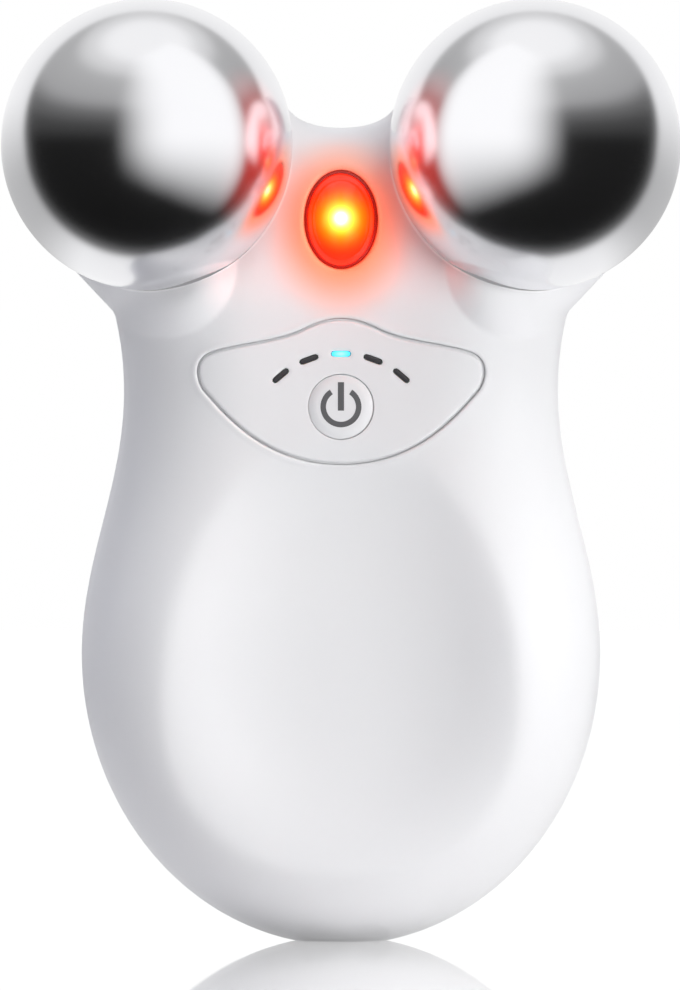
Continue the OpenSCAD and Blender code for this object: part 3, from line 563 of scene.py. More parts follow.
def bowl(rim, centre, radius):
    """Rows that carry a cup's rim on round the back of its sphere, and the pole where they close."""
    x, y, z = (rim - centre).T
    turn, start = np.arctan2(z, x), np.maximum(np.arctan2(np.hypot(x, z), -y), np.pi / 2)
    rows = []
    for k in range(1, BOWL_ROWS + 1):
        lean = start + (np.pi - start) * k / (BOWL_ROWS + 1)
        way = np.c_[np.sin(lean) * np.cos(turn), -np.cos(lean), np.sin(lean) * np.sin(turn)]
        rows.append(centre + radius * way)
    return np.vstack(rows + [centre + [[0, radius, 0]]])


def build_front():
    groups, loose = front_face()
    flat, parts = gather(groups, thin_out(loose, 0.1), 0.3)
    edge, base, panel, window, rims = parts[0], parts[1], parts[2:10], parts[10:15], parts[16:18]
    outline = np.r_[edge, base]
    holes = [panel[0], window[0], *rims]
    faces = triangulate(flat, [outline, *holes], flat[outline], [flat[hole] for hole in holes])
    depth = front_depth(flat)
    sink = np.zeros(len(flat))
    for row, d in zip(panel, RECESS_ROWS):
        sink[row] = recess_sink(d)
    for row, t in zip(window, CHAMFER_ROWS):
        sink[row] = lip(t * 0.55, 0.55)
    y_out = -(SEAM + depth - sink)
    y_out[edge] = -SEAM
    clear = outside_cup(flat, depth)
    from_panel = distance_to(panel_ring, flat, closed=True)
    from_window = np.hypot(flat[:, 0] / WINDOW_A, (flat[:, 1] - WINDOW_Z) / WINDOW_B)
    from_window = np.abs(from_window - 1) * WINDOW_A

    def y_in_of(outer, normals):
        wall = np.minimum(WALL, 0.25 + 0.5 * np.maximum(clear, 0))
        inner = outer - wall[:, None] * normals
        inner[base] = outer[base] + [0, 0, WALL]
        inner[edge, 1] = -SEAM
        inner[:, 1] = np.minimum(inner[:, 1], -SEAM)
        inner = straighten(inner, lifted(flat, -FLOOR_BACK), (1.7 - from_panel) / 0.6)
        return straighten(inner, outer + [0, 2.4, 0], (1.3 - from_window) / 0.5)

    n = len(flat)
    points, polys = shell_mesh(flat, faces, y_out, y_in_of, -1, [window[0]])
    points = close_base(points, polys, edge, base, n, -1)

    # The step that carries the panel
    ring = flat[panel[0]]
    ledge = grown(ring, -LEDGE)
    polys += strips([panel[0], *rows_from(len(points), len(ring), 3), panel[0] + n], flip=True)
    steps = [lifted(ring, -PANEL_FLOOR), lifted(ledge, -PANEL_FLOOR), lifted(ledge, -FLOOR_BACK)]
    points = np.vstack([points, *steps])

    # The cups: a thin lip at each rim, and a bowl with two walls behind it
    skin = point_normals(points[:n], faces)
    for rim, way in zip(rims, (1, -1)):
        centre = np.array([way * SPHERE_X, -SPHERE_FWD, SPHERE_Z])
        lean = points[rim] - centre
        wall_way = -lean * [1, 0, 1] / np.linalg.norm(lean[:, [0, 2]], axis=1)[:, None]
        ball = np.where((lean[:, 1] > 0)[:, None], -lean / np.linalg.norm(lean, axis=1)[:, None], wall_way)
        both = ball + skin[rim]
        both /= np.maximum(np.linalg.norm(both, axis=1), 0.3)[:, None]
        points[rim + n] = points[rim] - LIP_WALL * both
        for first, radius, flip in ((rim, CUP_R, True), (rim + n, CUP_R + BOWL_WALL, False)):
            rows = [first, *rows_from(len(points), len(rim), BOWL_ROWS)]
            points = np.vstack([points, bowl(points[rim], centre, radius)])
            polys += strips([*rows, [len(points) - 1] * len(rim)], flip=flip)
    return points, polys


# %% Checks on a finished mesh
def open_edges(piece):
    """Edges that don't join two faces running opposite ways: none on a closed, well-turned piece."""
    mesh = piece.data
    edge_of, point_of = np.empty(len(mesh.loops), np.int32), np.empty(len(mesh.loops), np.int32)
    mesh.loops.foreach_get("edge_index", edge_of)
    mesh.loops.foreach_get("vertex_index", point_of)
    first = np.array([e.vertices[0] for e in mesh.edges])
    forward = point_of == first[edge_of]
    return int((np.bincount(edge_of, forward, len(first)) != 1).sum()
               + (np.bincount(edge_of, ~forward, len(first)) != 1).sum())


def volume(piece):
    """The signed volume in cubic millimetres: negative if the faces point inwards."""
    mesh = piece.data
    mesh.calc_loop_triangles()
    co = np.array([v.co for v in mesh.vertices]) / MM
    tri = np.array([t.vertices for t in mesh.loop_triangles])
    a, b, c = co[tri[:, 0]], co[tri[:, 1]], co[tri[:, 2]]
    return float(np.einsum("ij,ij->i", a, np.cross(b, c)).sum() / 6)


def turn_outwards(piece):
    """Turns every face of a closed piece outwards, and says what is left open."""
    form = bmesh.new()
    form.from_mesh(piece.data)
    bmesh.ops.recalc_face_normals(form, faces=form.faces)
    form.to_mesh(piece.data)
    form.free()
    report(piece)
    print(f"  open edges {open_edges(piece)}, volume {volume(piece):.1f} mm3")


front_shell = new_piece("front_casing", *build_front())
turn_outwards(front_shell)
crisp(front_shell)

# %% [markdown]
# ## The rear shell
# The back half is a plain palm-filling dome with four bores, each closed by a soft plug over its
# screw, and the mouth of the charging port near the base. It is made by the same rule as the front.
# A thin tongue on the front half reaches over the seam, as it does inside a real snap-together
# casing, so that no light shows through the parting line.

# %% Rear shell mesh
CASE_SCREW_R = 1.0
BORE_R = 1.9 * CASE_SCREW_R + 0.25
CASE_PLACES = [(16.5, NECK_Z + 1.5), (13.0, 14.0)]
PORT_Z, PORT_W, PORT_H, PORT_GAP = 10.0, 8.94, 3.26, 0.36
BORE_ROWS, PORT_ROWS = (0, 0.03, 0.1, 0.2), (0, 0.04, 0.14, 0.3)
BORE_WALL, PORT_WALL = 3.4, 2.0


def circle(centre, radius, n=48):
    u = np.linspace(0, 2 * np.pi, n, endpoint=False)
    return np.array(centre) + radius * np.c_[np.cos(u), np.sin(u)]


def pill_outline(centre, width, height, n=14):
    """A bar with round ends, anticlockwise."""
    u = np.linspace(-np.pi / 2, np.pi / 2, n)
    cap = height / 2 * np.c_[np.cos(u), np.sin(u)]
    flat = (width - height) / 2
    line = np.vstack([cap + [flat, 0], -cap + [-flat, 0]])
    return np.array(centre) + evenly(np.vstack([line, line[:1]]), 0.3)[:-1]


def build_rear():
    bores = [(sx * x, z) for x, z in CASE_PLACES for sx in (1, -1)]
    holes = [([circle(b, BORE_R + d) for d in BORE_ROWS], BORE_ROWS, BORE_WALL) for b in bores]
    port = [pill_outline((0, PORT_Z), PORT_W + PORT_GAP + 2 * d, PORT_H + PORT_GAP + 2 * d)
            for d in PORT_ROWS]
    holes.append((port, PORT_ROWS, PORT_WALL))
    groups = [edge_loop, base_row] + [row for rows, _, _ in holes for row in rows]
    loose = on_casing(thin_out(rim_rows(edge_loop), 0.1), loose_grid(0.8), 0.4)
    for rows, _, _ in holes:
        loose = loose[~inside(grown(rows[-1], 0.2), loose)]
    flat, parts = gather(groups, loose, 0.25)
    edge, base = parts[:2]
    rims = parts[2::len(BORE_ROWS)]
    outline = np.r_[edge, base]
    faces = triangulate(flat, [outline, *rims], flat[outline], [flat[rim] for rim in rims])
    sink = np.zeros(len(flat))
    for k, (_, steps, _) in enumerate(holes):
        for j, d in enumerate(steps):
            sink[parts[2 + len(steps) * k + j]] = lip(d, steps[-1])
    y_out = SEAM + (rear_depth(flat) - sink) * 0.999
    y_out[edge] = SEAM

    def y_in_of(outer, normals):
        inner = outer - WALL * normals
        inner[base] = outer[base] + [0, 0, WALL]
        inner[edge, 1] = SEAM
        inner[:, 1] = np.maximum(inner[:, 1], SEAM)
        for rim, (_, _, wall) in zip(rims, holes):
            straight = lifted(flat, np.maximum(outer[:, 1] - wall, SEAM))
            inner = straighten(inner, straight, (1.2 - distance_to(flat[rim], flat, closed=True)) / 0.5)
        return inner

    points, polys = shell_mesh(flat, faces, y_out, y_in_of, 1, rims)
    return close_base(points, polys, edge, base, len(flat), 1), polys


rear_shell = new_piece("rear_casing", *build_rear())
turn_outwards(rear_shell)
crisp(rear_shell)

# %% Seam tongue
TONGUE_OUT, TONGUE_IN, TONGUE_REACH = -1.38, -1.9, 1.2


def ring_mesh(rows):
    """A closed ring from equal rows of points, the last joined to the first."""
    ids = rows_from(0, len(rows[0]), len(rows))
    return np.vstack(rows), strips(ids + ids[:1])


tongue_loop = np.vstack([edge_loop, base_row])
tongue_out, tongue_in = grown(tongue_loop, TONGUE_OUT), grown(tongue_loop, TONGUE_IN)
tongue = new_piece("seam_tongue", *ring_mesh([
    lifted(tongue_out, -TONGUE_REACH), lifted(tongue_out, TONGUE_REACH),
    lifted(tongue_in, TONGUE_REACH), lifted(tongue_in, -TONGUE_REACH)]), smooth=False)
turn_outwards(tongue)

# %% [markdown]
# ## The control panel
# The panel is a separate moulding glued into the recess, with a hair-thin groove round it. Its face
# carries on the curve of the casing, and it has a round hole for the button and five slots for the
# level windows. Its top edge is rounded by a few tenths of a millimetre, which draws the fine
# bright line round it.

# %% Control panel mesh
BUTTON_R, BUTTON_Z, BUTTON_GAP = 3.35, 56.7, 0.12
LEVELS, LEVEL_STEP, ARC_R, LEVEL_L, LEVEL_H, LEVEL_GAP = 5, 20.0, 9.9, 2.05, 0.54, 0.06
LEVEL_C = np.array([0, BUTTON_Z - 4.3])
GROOVE_DEPTH, PANEL_BACK, SKIRT_TOP = 0.3, -8.36, -8.42
PANEL_ROWS, HOLE_ROWS, SLOT_SINK = (0, 0.02, 0.08, 0.2, 0.45), (0, 0.02, 0.05, 0.1), 0.05
button_c = np.array([0, BUTTON_Z])


def level_outline(i, gap):
    turn = math.radians((i - (LEVELS - 1) / 2) * LEVEL_STEP)
    ring = pill_outline((0, ARC_R), LEVEL_L + 2 * gap, LEVEL_H + 2 * gap, 8)
    return LEVEL_C + ring @ np.array([[math.cos(turn), -math.sin(turn)], [math.sin(turn), math.cos(turn)]])


def build_panel():
    edge_rows = [grown(panel_ring, -d) for d in PANEL_ROWS]
    hole_rows = [circle(button_c, BUTTON_R + BUTTON_GAP + d, 96) for d in HOLE_ROWS]
    slots = [level_outline(i, LEVEL_GAP) for i in range(LEVELS)]
    groups = edge_rows + hole_rows + slots + [grown(s, 0.1) for s in slots]
    grid = loose_grid(0.45)
    ok = inside(grown(panel_ring, -0.7), grid) & ~inside(circle(button_c, BUTTON_R + 0.6), grid)
    for s in slots:
        ok &= ~inside(grown(s, 0.3), grid)
    flat, parts = gather(groups, grid[ok], 0.12)
    edge, slot_ids = parts[0], parts[9:9 + LEVELS]
    holes = [parts[5], *slot_ids]
    faces = triangulate(flat, [edge, *holes], flat[edge], [flat[hole] for hole in holes])
    sink = np.zeros(len(flat))
    for row, d in zip(parts[:5], PANEL_ROWS):
        sink[row] = lip(d, 0.2)
    for row, d in zip(parts[5:9], HOLE_ROWS):
        sink[row] = lip(d, 0.08)
    sink[np.concatenate(slot_ids)] = SLOT_SINK
    y_out = -(SEAM + front_depth(flat) - sink)
    points, polys = shell_mesh(flat, faces, y_out, lambda outer, normals: lifted(flat, PANEL_BACK), -1, holes)
    # a step in the edge fills most of the groove, so that it reads as a fine grey line
    n, skirt = len(flat), grown(panel_ring, GROOVE - 0.05)
    points[edge + n] = lifted(skirt, PANEL_BACK)
    polys += strips([edge, *rows_from(len(points), len(edge), 2), edge + n])
    steps = [lifted(ring, np.minimum(y_out[edge] + deep, SKIRT_TOP))
             for ring, deep in ((panel_ring, GROOVE_DEPTH), (skirt, GROOVE_DEPTH + 0.04))]
    return np.vstack([points, *steps]), polys


panel = new_piece("panel_insert", *build_panel())
turn_outwards(panel)
crisp(panel)

# %% [markdown]
# ## The power button and its symbol
# The button is a round key, nearly flat in the middle, whose edge rolls down to the panel. It stands
# a little proud, so the fingertip finds it. It's turned from a profile, as on a lathe. The generic
# power symbol is moulded into its face: a ring with a gap on top, and a bar. It is modelled as its
# own thin solid that follows the face, so that it stays sharp at any size.

# %% Turned solids
def turned(profile, centre, steps=96):
    """A closed solid turned from (radius, along) pairs about an axis along Y through `centre`."""
    u = np.linspace(0, 2 * np.pi, steps, endpoint=False)
    ring = np.c_[np.cos(u), np.zeros(steps), -np.sin(u)]
    rows, points = [], []
    for radius, along in profile:
        base = np.array(centre, float) + [0, along, 0]
        rows.append([len(points)] * steps if radius == 0 else list(range(len(points), len(points) + steps)))
        points += [base] if radius == 0 else list(base + radius * ring)
    return np.array(points), strips(rows)


# %% Button and symbol
CROWN_Y = -(SEAM + float(front_depth(button_c)[0]) + 0.22)
KEY_R, ROLL_FROM, ROLL_DROP = BUTTON_R + 0.07, 2.45, 0.3
FLANGE_R, FLANGE_FRONT, FLANGE_BACK, STEM_R, STEM_END = BUTTON_R + 1.1, -6.9, -6.32, 1.2, -5.93
SYMBOL_R, SYMBOL_W, SYMBOL_GAP, SYMBOL_T, SYMBOL_PROUD = 2.16, 0.58, 33.0, 0.3, 0.02
BAR_W, BAR_L, BAR_LOW = 0.65, 3.0, -0.4


def key_y(radius):
    """The button's front surface at a distance from its middle."""
    radius = np.asarray(radius, float)
    roll = np.maximum(radius - ROLL_FROM, 0) / (KEY_R - ROLL_FROM)
    return CROWN_Y + 0.04 * np.square(radius / ROLL_FROM) + ROLL_DROP * roll ** 2


face_radii = np.r_[np.linspace(0, ROLL_FROM, 8), np.linspace(ROLL_FROM, KEY_R - 0.03, 10)[1:]]
edge_y = float(key_y(KEY_R))
button_profile = [(r, float(key_y(r))) for r in face_radii] + [
    (KEY_R - 0.01, edge_y + 0.01), (KEY_R, edge_y + 0.04), (KEY_R, FLANGE_FRONT), (FLANGE_R, FLANGE_FRONT),
    (FLANGE_R, FLANGE_BACK), (STEM_R, FLANGE_BACK), (STEM_R, STEM_END), (0, STEM_END)]
button = new_piece("power_key", *turned(button_profile, (0, 0, BUTTON_Z)))
turn_outwards(button)
crisp(button, 30)


def symbol_part(x, z):
    """A closed solid over a grid of points, whose front stands a hair proud of the button's face."""
    rows, cols = x.shape
    front = np.c_[x.ravel(), (key_y(np.hypot(x, z)) - SYMBOL_PROUD).ravel(), z.ravel() + BUTTON_Z]
    n = rows * cols
    ids = np.arange(n).reshape(rows, cols)
    faces = strips(list(ids), closed=False)
    rim = np.r_[ids[0], ids[1:, -1], ids[-1, -2::-1], ids[-2:0:-1, 0]]
    polys = faces + [[i + n for i in face[::-1]] for face in faces] + strip(rim + n, rim)
    return np.vstack([front, front + [0, SYMBOL_T, 0]]), polys


turn = np.radians(np.linspace(SYMBOL_GAP, 360 - SYMBOL_GAP, 73))
reach = np.linspace(SYMBOL_R - SYMBOL_W, SYMBOL_R, 5)
ring_points, ring_polys = symbol_part(np.outer(np.sin(turn), reach), np.outer(np.cos(turn), reach))
bar_points, bar_polys = symbol_part(*np.meshgrid(np.linspace(-BAR_W / 2, BAR_W / 2, 5),
                                                 np.linspace(BAR_LOW, BAR_LOW + BAR_L, 13)))
symbol = new_piece("power_symbol", np.vstack([ring_points, bar_points]),
                   ring_polys + [[i + len(ring_points) for i in f] for f in bar_polys])
turn_outwards(symbol)
crisp(symbol, 30)

# %% [markdown]
# ## The light window
# The window is a thick oval of clear red plastic, domed like a drop, in a darker bezel. A light
# behind it makes it glow: almost white in the middle, then yellow, orange and red. The dome is
# made of rings of the same oval, so the glow can later follow its distance from the middle.

# %% Lens and bezel
BEZEL_W, PLAY, BEZEL_GAP = 0.35, 0.05, 0.02
LENS_A, LENS_B = WINDOW_A - BEZEL_W - PLAY, WINDOW_B - BEZEL_W - PLAY
LENS_SINK, LENS_DOME, LENS_EDGE, LENS_BACK = 0.55, 1.1, 0.88, -3.6
BEZEL_PROFILE = ((0, 0.62), (0, 0.42), (0.04, 0.34), (0.12, 0.3), (BEZEL_W - 0.06, 0.3),
                 (BEZEL_W - 0.01, 0.36), (BEZEL_W - 0.01, 3.2), (0, 3.2))  # distance in, drop


def ringed_solid(rings, middle, back_y):
    """A closed solid: a middle point, rows of ([x, z] ring, y), and a flat back at `back_y`."""
    n = len(rings[0][0])
    points = np.vstack([lifted(xz, y) for xz, y in [*rings, (rings[-1][0], back_y)]]
                       + [[middle, [middle[0], back_y, middle[2]]]])
    front, back = len(points) - 2, len(points) - 1
    return points, strips([[front] * n, *rows_from(0, n, len(rings) + 1), [back] * n])


lens_rings = []
for t in np.sin(np.linspace(0.06, np.pi / 2, 26)):
    xz = oval(LENS_A * t, LENS_B * t)
    dome = LENS_DOME * math.sqrt(max(1 - (t / LENS_EDGE) ** 2, 0))
    lens_rings.append((xz, -(SEAM + front_depth(xz) - LENS_SINK + dome)))
lens = new_piece("window_lens", *ringed_solid(lens_rings, lifted(*lens_rings[0]).mean(0), LENS_BACK))
turn_outwards(lens)
crisp(lens, 50)

bezel_rows = []
for d, drop in BEZEL_PROFILE:
    xz = oval(WINDOW_A - BEZEL_GAP - d, WINDOW_B - BEZEL_GAP - d)
    bezel_rows.append(lifted(xz, -(SEAM + front_depth(xz) - drop)))
bezel = new_piece("window_rim", *ring_mesh(bezel_rows))
turn_outwards(bezel)
crisp(bezel, 40)

# %% [markdown]
# ## Finishes
# Each finish starts from what the real material is and how its surface was made. The casing is
# glossy white ABS from a polished mould: a colour that hardly varies, a coat-like gloss and the very
# faint orange peel of moulded plastic. Patterns are sized in real millimetres and read Object
# coordinates, so they stay on the piece when it moves.

# %% A moulded or plated finish
def new_material(name):
    """An empty material and its node tree."""
    material = bpy.data.materials.new(name)
    material.use_nodes = True
    material.node_tree.nodes.clear()
    return material, material.node_tree


def new_finish(name):
    """A material with its Principled shader, and the object coordinates in millimetres."""
    material, tree = new_material(name)
    place = add_node(tree, "ShaderNodeTexCoord").outputs["Object"]
    in_mm = add_node(tree, "ShaderNodeVectorMath", {0: place, "Scale": 1 / MM}, operation="SCALE")
    shader = add_node(tree, "ShaderNodeBsdfPrincipled")
    add_node(tree, "ShaderNodeOutputMaterial", {"Surface": shader})
    return material, tree, shader, in_mm


def moulded(name, light, dark, roughness, spread, patch_mm, peel_mm, peel_um, **sockets):
    """A finish whose colour drifts between two tones over patches, with a fine peel in its gloss."""
    material, tree, shader, in_mm = new_finish(name)
    patches = add_node(tree, "ShaderNodeTexNoise", {"Vector": in_mm, "Scale": 1 / patch_mm, "Detail": 2.0})
    tone = add_node(tree, "ShaderNodeMix", {0: patches, 6: linear(light), 7: linear(dark)}, data_type="RGBA")
    gloss = add_node(tree, "ShaderNodeMapRange", {0: patches, 3: roughness - spread, 4: roughness + spread})
    peel = add_node(tree, "ShaderNodeTexNoise", {"Vector": in_mm, "Scale": 1 / peel_mm, "Detail": 2.0})
    bump = add_node(tree, "ShaderNodeBump", {"Height": peel, "Strength": 1.0, "Distance": peel_um * 1e-6})
    feed(tree, shader, {"Base Color": tone.outputs[2], "Roughness": gloss, "Normal": bump, **sockets})
    return material


# %% [markdown]
# The four white pieces are one plastic. Real orange peel is a few microns deep and too fine to show
# at this size, so it is drawn as a soft 3 mm wave that only just bends a reflection. Chrome plate is
# a mirror with a trace of haze from polishing. The other metals, the rubber and the circuit boards
# use the same rule with their own sizes.

# %% Plain finishes
WHITE_ABS = "#F1F1F2", "#EDEDEF", 0.36, 0.04, 30, 3.0, 0.8
finishes = {
    "casing_white": moulded("glossy_white_abs", *WHITE_ABS, IOR=1.53),
    "plug_white": moulded("soft_white_rubber", "#EBEBEC", "#E4E4E6", 0.62, 0.05, 4, 0.25, 6, IOR=1.5),
    "chrome": moulded("satin_chrome_plate", "#F4F4F6", "#EEEEF1", 0.19, 0.02, 12, 1.5, 0.15, Metallic=1.0),
    "steel": moulded("zinc_plated_steel", "#C6C8CA", "#A9ABAE", 0.32, 0.08, 1.5, 0.2, 3, Metallic=1.0),
    "legend_grey": moulded("grey_moulded_symbol", "#6B6B6D", "#5F5F61", 0.42, 0.05, 1.5, 0.3, 2, IOR=1.5),
    "bezel_dark": moulded("dark_red_rim", "#B42414", "#9A1A0E", 0.3, 0.05, 2, 0.4, 2, IOR=1.5),
    "black_plastic": moulded("black_filled_plastic", "#1C1C1E", "#141415", 0.5, 0.06, 3, 0.2, 5, IOR=1.5),
    "natural_plastic": moulded("natural_abs", "#DEDACF", "#D2CDC0", 0.48, 0.05, 8, 0.4, 4, IOR=1.53),
    "gasket_rubber": moulded("black_silicone", "#232325", "#18181A", 0.7, 0.05, 2, 0.2, 8, IOR=1.43),
    "ferrite": moulded("sintered_ferrite", "#37373A", "#2A2A2C", 0.65, 0.08, 1, 0.15, 10, IOR=1.6),
    "brass_lug": moulded("tinned_brass", "#D2B266", "#B79348", 0.3, 0.06, 1, 0.2, 2, Metallic=1.0),
    "adhesive": moulded("acrylic_adhesive", "#D9D2B4", "#C9C09A", 0.35, 0.06, 3, 0.3, 6, IOR=1.47),
    "wire_red": moulded("red_silicone_wire", "#B0201C", "#981814", 0.5, 0.05, 2, 0.3, 4, IOR=1.43),
    "wire_blue": moulded("blue_silicone_wire", "#1F3E9C", "#17307E", 0.5, 0.05, 2, 0.3, 4, IOR=1.43),
}
print("finishes:", ", ".join(finishes))

# %% [markdown]
# Round the window the white plastic is lit from inside, because its wall lets some of the red light
# through. Red light can't darken a white surface, so a red lamp alone would only give a pale pink.
# So the glow is painted: the shell's colour turns to a warm red near the opening and glows a little.

# %% Shell with the window's glow painted into it
# sizes and strengths of the painted glow round the window, and of the painted light on the cup lips
GLOW_HALF_W, GLOW_Z, GLOW_NEAR, GLOW_FAR = 4.2, WINDOW_Z - 0.6, 0.85, 2.3
GLOW_STRENGTH, PAINTED_LIP_LIGHT = 0.3, 0.45


def paint_window_glow(material, tint="#F1AA81", shine="#FF3410"):
    """Colours the shell red round the window and makes it glow there: painted light for the window's light
    that soaks into the plastic.
    """
    tree = material.node_tree
    shader = next(node for node in tree.nodes if node.type == "BSDF_PRINCIPLED")
    plain = shader.inputs["Base Color"].links[0].from_socket
    place = add_node(tree, "ShaderNodeTexCoord").outputs["Object"]
    centred = add_node(tree, "ShaderNodeMapping", {
        "Vector": place, "Location": (0, 0, -GLOW_Z / WINDOW_B),
        "Scale": (1 / (GLOW_HALF_W * MM), 0, 1 / (WINDOW_B * MM))})
    reach = add_node(tree, "ShaderNodeVectorMath", {0: centred}, operation="LENGTH")
    fall = add_node(tree, "ShaderNodeMapRange", {
        0: reach.outputs["Value"], 1: GLOW_NEAR, 2: GLOW_FAR, 3: 1.0, 4: 0.0},
                    interpolation_type="SMOOTHSTEP")
    ramp = add_node(tree, "ShaderNodeMath", {0: fall, 1: 1.4}, operation="POWER")
    depth = add_node(tree, "ShaderNodeSeparateXYZ", {0: place}).outputs["Y"]
    front = add_node(tree, "ShaderNodeMapRange", {0: depth, 1: -0.003, 2: -0.006, 3: 0.0, 4: 1.0})
    painted_glow_share = add_node(tree, "ShaderNodeMath", {0: ramp, 1: front}, operation="MULTIPLY")
    # painted light: near the window the base colour turns warm red and the emission glows red
    painted_glow_colour = add_node(tree, "ShaderNodeMix", {0: painted_glow_share, 6: plain, 7: linear(tint)}, data_type="RGBA")
    glow = add_node(tree, "ShaderNodeMix", {0: painted_glow_share, 6: (0, 0, 0, 1), 7: linear(shine)}, data_type="RGBA")
    # painted light: the lip of each cup glows a little in its emission, standing in for light that bounces
    # between it and its sphere
    folded = add_node(tree, "ShaderNodeVectorMath", {0: place}, operation="ABSOLUTE")
    centre = tuple(c * MM for c in (SPHERE_X, SPHERE_FWD, SPHERE_Z))
    from_sphere = add_node(tree, "ShaderNodeVectorMath", {0: folded, 1: centre}, operation="DISTANCE")
    painted_lip_light = add_node(tree, "ShaderNodeMapRange", {
        0: from_sphere.outputs["Value"], 1: (CUP_R + 0.25) * MM, 2: (CUP_R + 0.1) * MM, 3: 0.0, 4: PAINTED_LIP_LIGHT})
    lit = add_node(tree, "ShaderNodeMix", {0: 1.0, 6: glow.outputs[2], 7: painted_lip_light},
                   data_type="RGBA", blend_type="ADD")
    feed(tree, shader, {"Base Color": painted_glow_colour.outputs[2], "Emission Color": lit.outputs[2],
                        "Emission Strength": GLOW_STRENGTH})


finishes["shell_white_painted_glow"] = moulded("glossy_white_abs_with_painted_window_glow", *WHITE_ABS, IOR=1.53)
paint_window_glow(finishes["shell_white_painted_glow"])

# %% [markdown]
# Three finishes need their own pattern. Solder mask is green lacquer over copper tracks that show as
# paler lines. The battery's foil pouch is embossed with a fine cross-hatch. Foam has open pores.

# %% Patterned finishes
def circuit_board(track_mm=1.3):
    material, tree, shader, in_mm = new_finish("green_solder_mask")
    cells = add_node(tree, "ShaderNodeTexVoronoi", {"Vector": in_mm, "Scale": 1 / track_mm},
                     distance="MANHATTAN")
    lines = add_node(tree, "ShaderNodeMapRange", {0: cells.outputs["Distance"], 1: 0.42, 2: 0.5})
    tone = add_node(tree, "ShaderNodeMix", {0: lines, 6: linear("#12542F"), 7: linear("#2C7A4B")},
                    data_type="RGBA")
    bump = add_node(tree, "ShaderNodeBump", {"Height": lines, "Strength": 0.6, "Distance": 35e-6})
    feed(tree, shader, {"Base Color": tone.outputs[2], "Normal": bump, "Roughness": 0.3})
    return material


def embossed_foil(pitch_mm=0.8):
    material, tree, shader, in_mm = new_finish("aluminium_pouch_foil")
    heights = []
    for turn in (45, -45):
        rotation = (0, math.radians(turn), 0)
        across = add_node(tree, "ShaderNodeMapping", {"Vector": in_mm, "Rotation": rotation})
        wave = add_node(tree, "ShaderNodeTexWave", {"Vector": across, "Scale": 0.314 / pitch_mm})
        heights.append(wave.outputs["Fac"])
    hatch = add_node(tree, "ShaderNodeMath", {0: heights[0], 1: heights[1]}, operation="MULTIPLY")
    bump = add_node(tree, "ShaderNodeBump", {"Height": hatch, "Strength": 0.5, "Distance": 30e-6})
    tone = add_node(tree, "ShaderNodeMix", {0: hatch, 6: linear("#B9BABD"), 7: linear("#D5D6D9")},
                    data_type="RGBA")
    feed(tree, shader, {"Base Color": tone.outputs[2], "Normal": bump, "Metallic": 1.0, "Roughness": 0.35})
    return material


def open_foam(pore_mm=0.35):
    material, tree, shader, in_mm = new_finish("dark_open_foam")
    pores = add_node(tree, "ShaderNodeTexVoronoi", {"Vector": in_mm, "Scale": 1 / pore_mm})
    tone = add_node(tree, "ShaderNodeMix", {0: pores, 6: linear("#1E1E20"), 7: linear("#4A4A4D")},
                    data_type="RGBA")
    bump = add_node(tree, "ShaderNodeBump", {"Height": pores, "Strength": 1.0, "Distance": 60e-6})
    feed(tree, shader, {"Base Color": tone.outputs[2], "Normal": bump, "Roughness": 0.9})
    return material


finishes["circuit_board"] = circuit_board()
finishes["cell_foil"] = embossed_foil()
finishes["pad_foam"] = open_foam()

# %% [markdown]
# ## Finishes that glow
# The red window is lit from behind. Its colour follows the distance from the middle of the oval,
# measured on the piece itself: a pale core, then yellow, orange, red and a dark red edge. The
# strength stays near 1, so the colours show as they are written. The middle level window glows
# cyan, and the LEDs behind the panel are drops of pale resin.

# %% Glowing finishes
def fill_ramp(ramp, interpolation, stops):
    """Sets a colour ramp's stops, given as (position, linear colour)."""
    ramp.color_ramp.interpolation = interpolation
    while len(ramp.color_ramp.elements) < len(stops):
        ramp.color_ramp.elements.new(0.5)
    for element, (at, colour) in zip(ramp.color_ramp.elements, stops):
        element.position, element.color = at, colour


def glow(name, stops, strength, centre_mm, half_w, half_h, roughness):
    material, tree, shader, in_mm = new_finish(name)
    centred = add_node(tree, "ShaderNodeMapping", {"Vector": in_mm, "Location": tuple(-c for c in centre_mm)})
    scaled = add_node(tree, "ShaderNodeVectorMath", {0: centred, 1: (1 / half_w, 0, 1 / half_h)},
                      operation="MULTIPLY")
    reach = add_node(tree, "ShaderNodeVectorMath", {0: scaled}, operation="LENGTH")
    ramp = add_node(tree, "ShaderNodeValToRGB", {"Fac": reach.outputs["Value"]})
    fill_ramp(ramp, "B_SPLINE", [(at, linear(colour)) for at, colour in stops])
    feed(tree, shader, {"Base Color": ramp.outputs["Color"], "Emission Color": ramp.outputs["Color"],
                        "Emission Strength": strength, "Roughness": roughness})
    return material


finishes["window_red"] = glow("glowing_red_polycarbonate", [
    (0.0, "#FFFFFA"), (0.09, "#FFFFE6"), (0.17, "#FFF25C"), (0.27, "#FFB21E"), (0.41, "#FF6A06"),
    (0.6, "#FB3408"), (0.8, "#F8200A"), (1.0, "#F4402A")],
    1.0, (0, 0, WINDOW_Z + 0.1), WINDOW_B, WINDOW_B, 0.15)
finishes["level_lit"] = glow("lit_cyan_window", [
    (0.0, "#9FF2FF"), (0.5, "#4FD8F0"), (1.0, "#22B4DC")], 1.0, (0, 0, BUTTON_Z - 4.3 + ARC_R), 1.3, 0.6, 0.2)
finishes["level_dark"] = moulded("smoky_level_window", "#4A4A4C", "#3E3E40", 0.25, 0.04, 1.0, 0.3, 1,
                                 IOR=1.58)
finishes["led_resin"] = moulded("led_resin", "#EAD98C", "#D9C46A", 0.2, 0.04, 1.0, 0.3, 2, IOR=1.55)


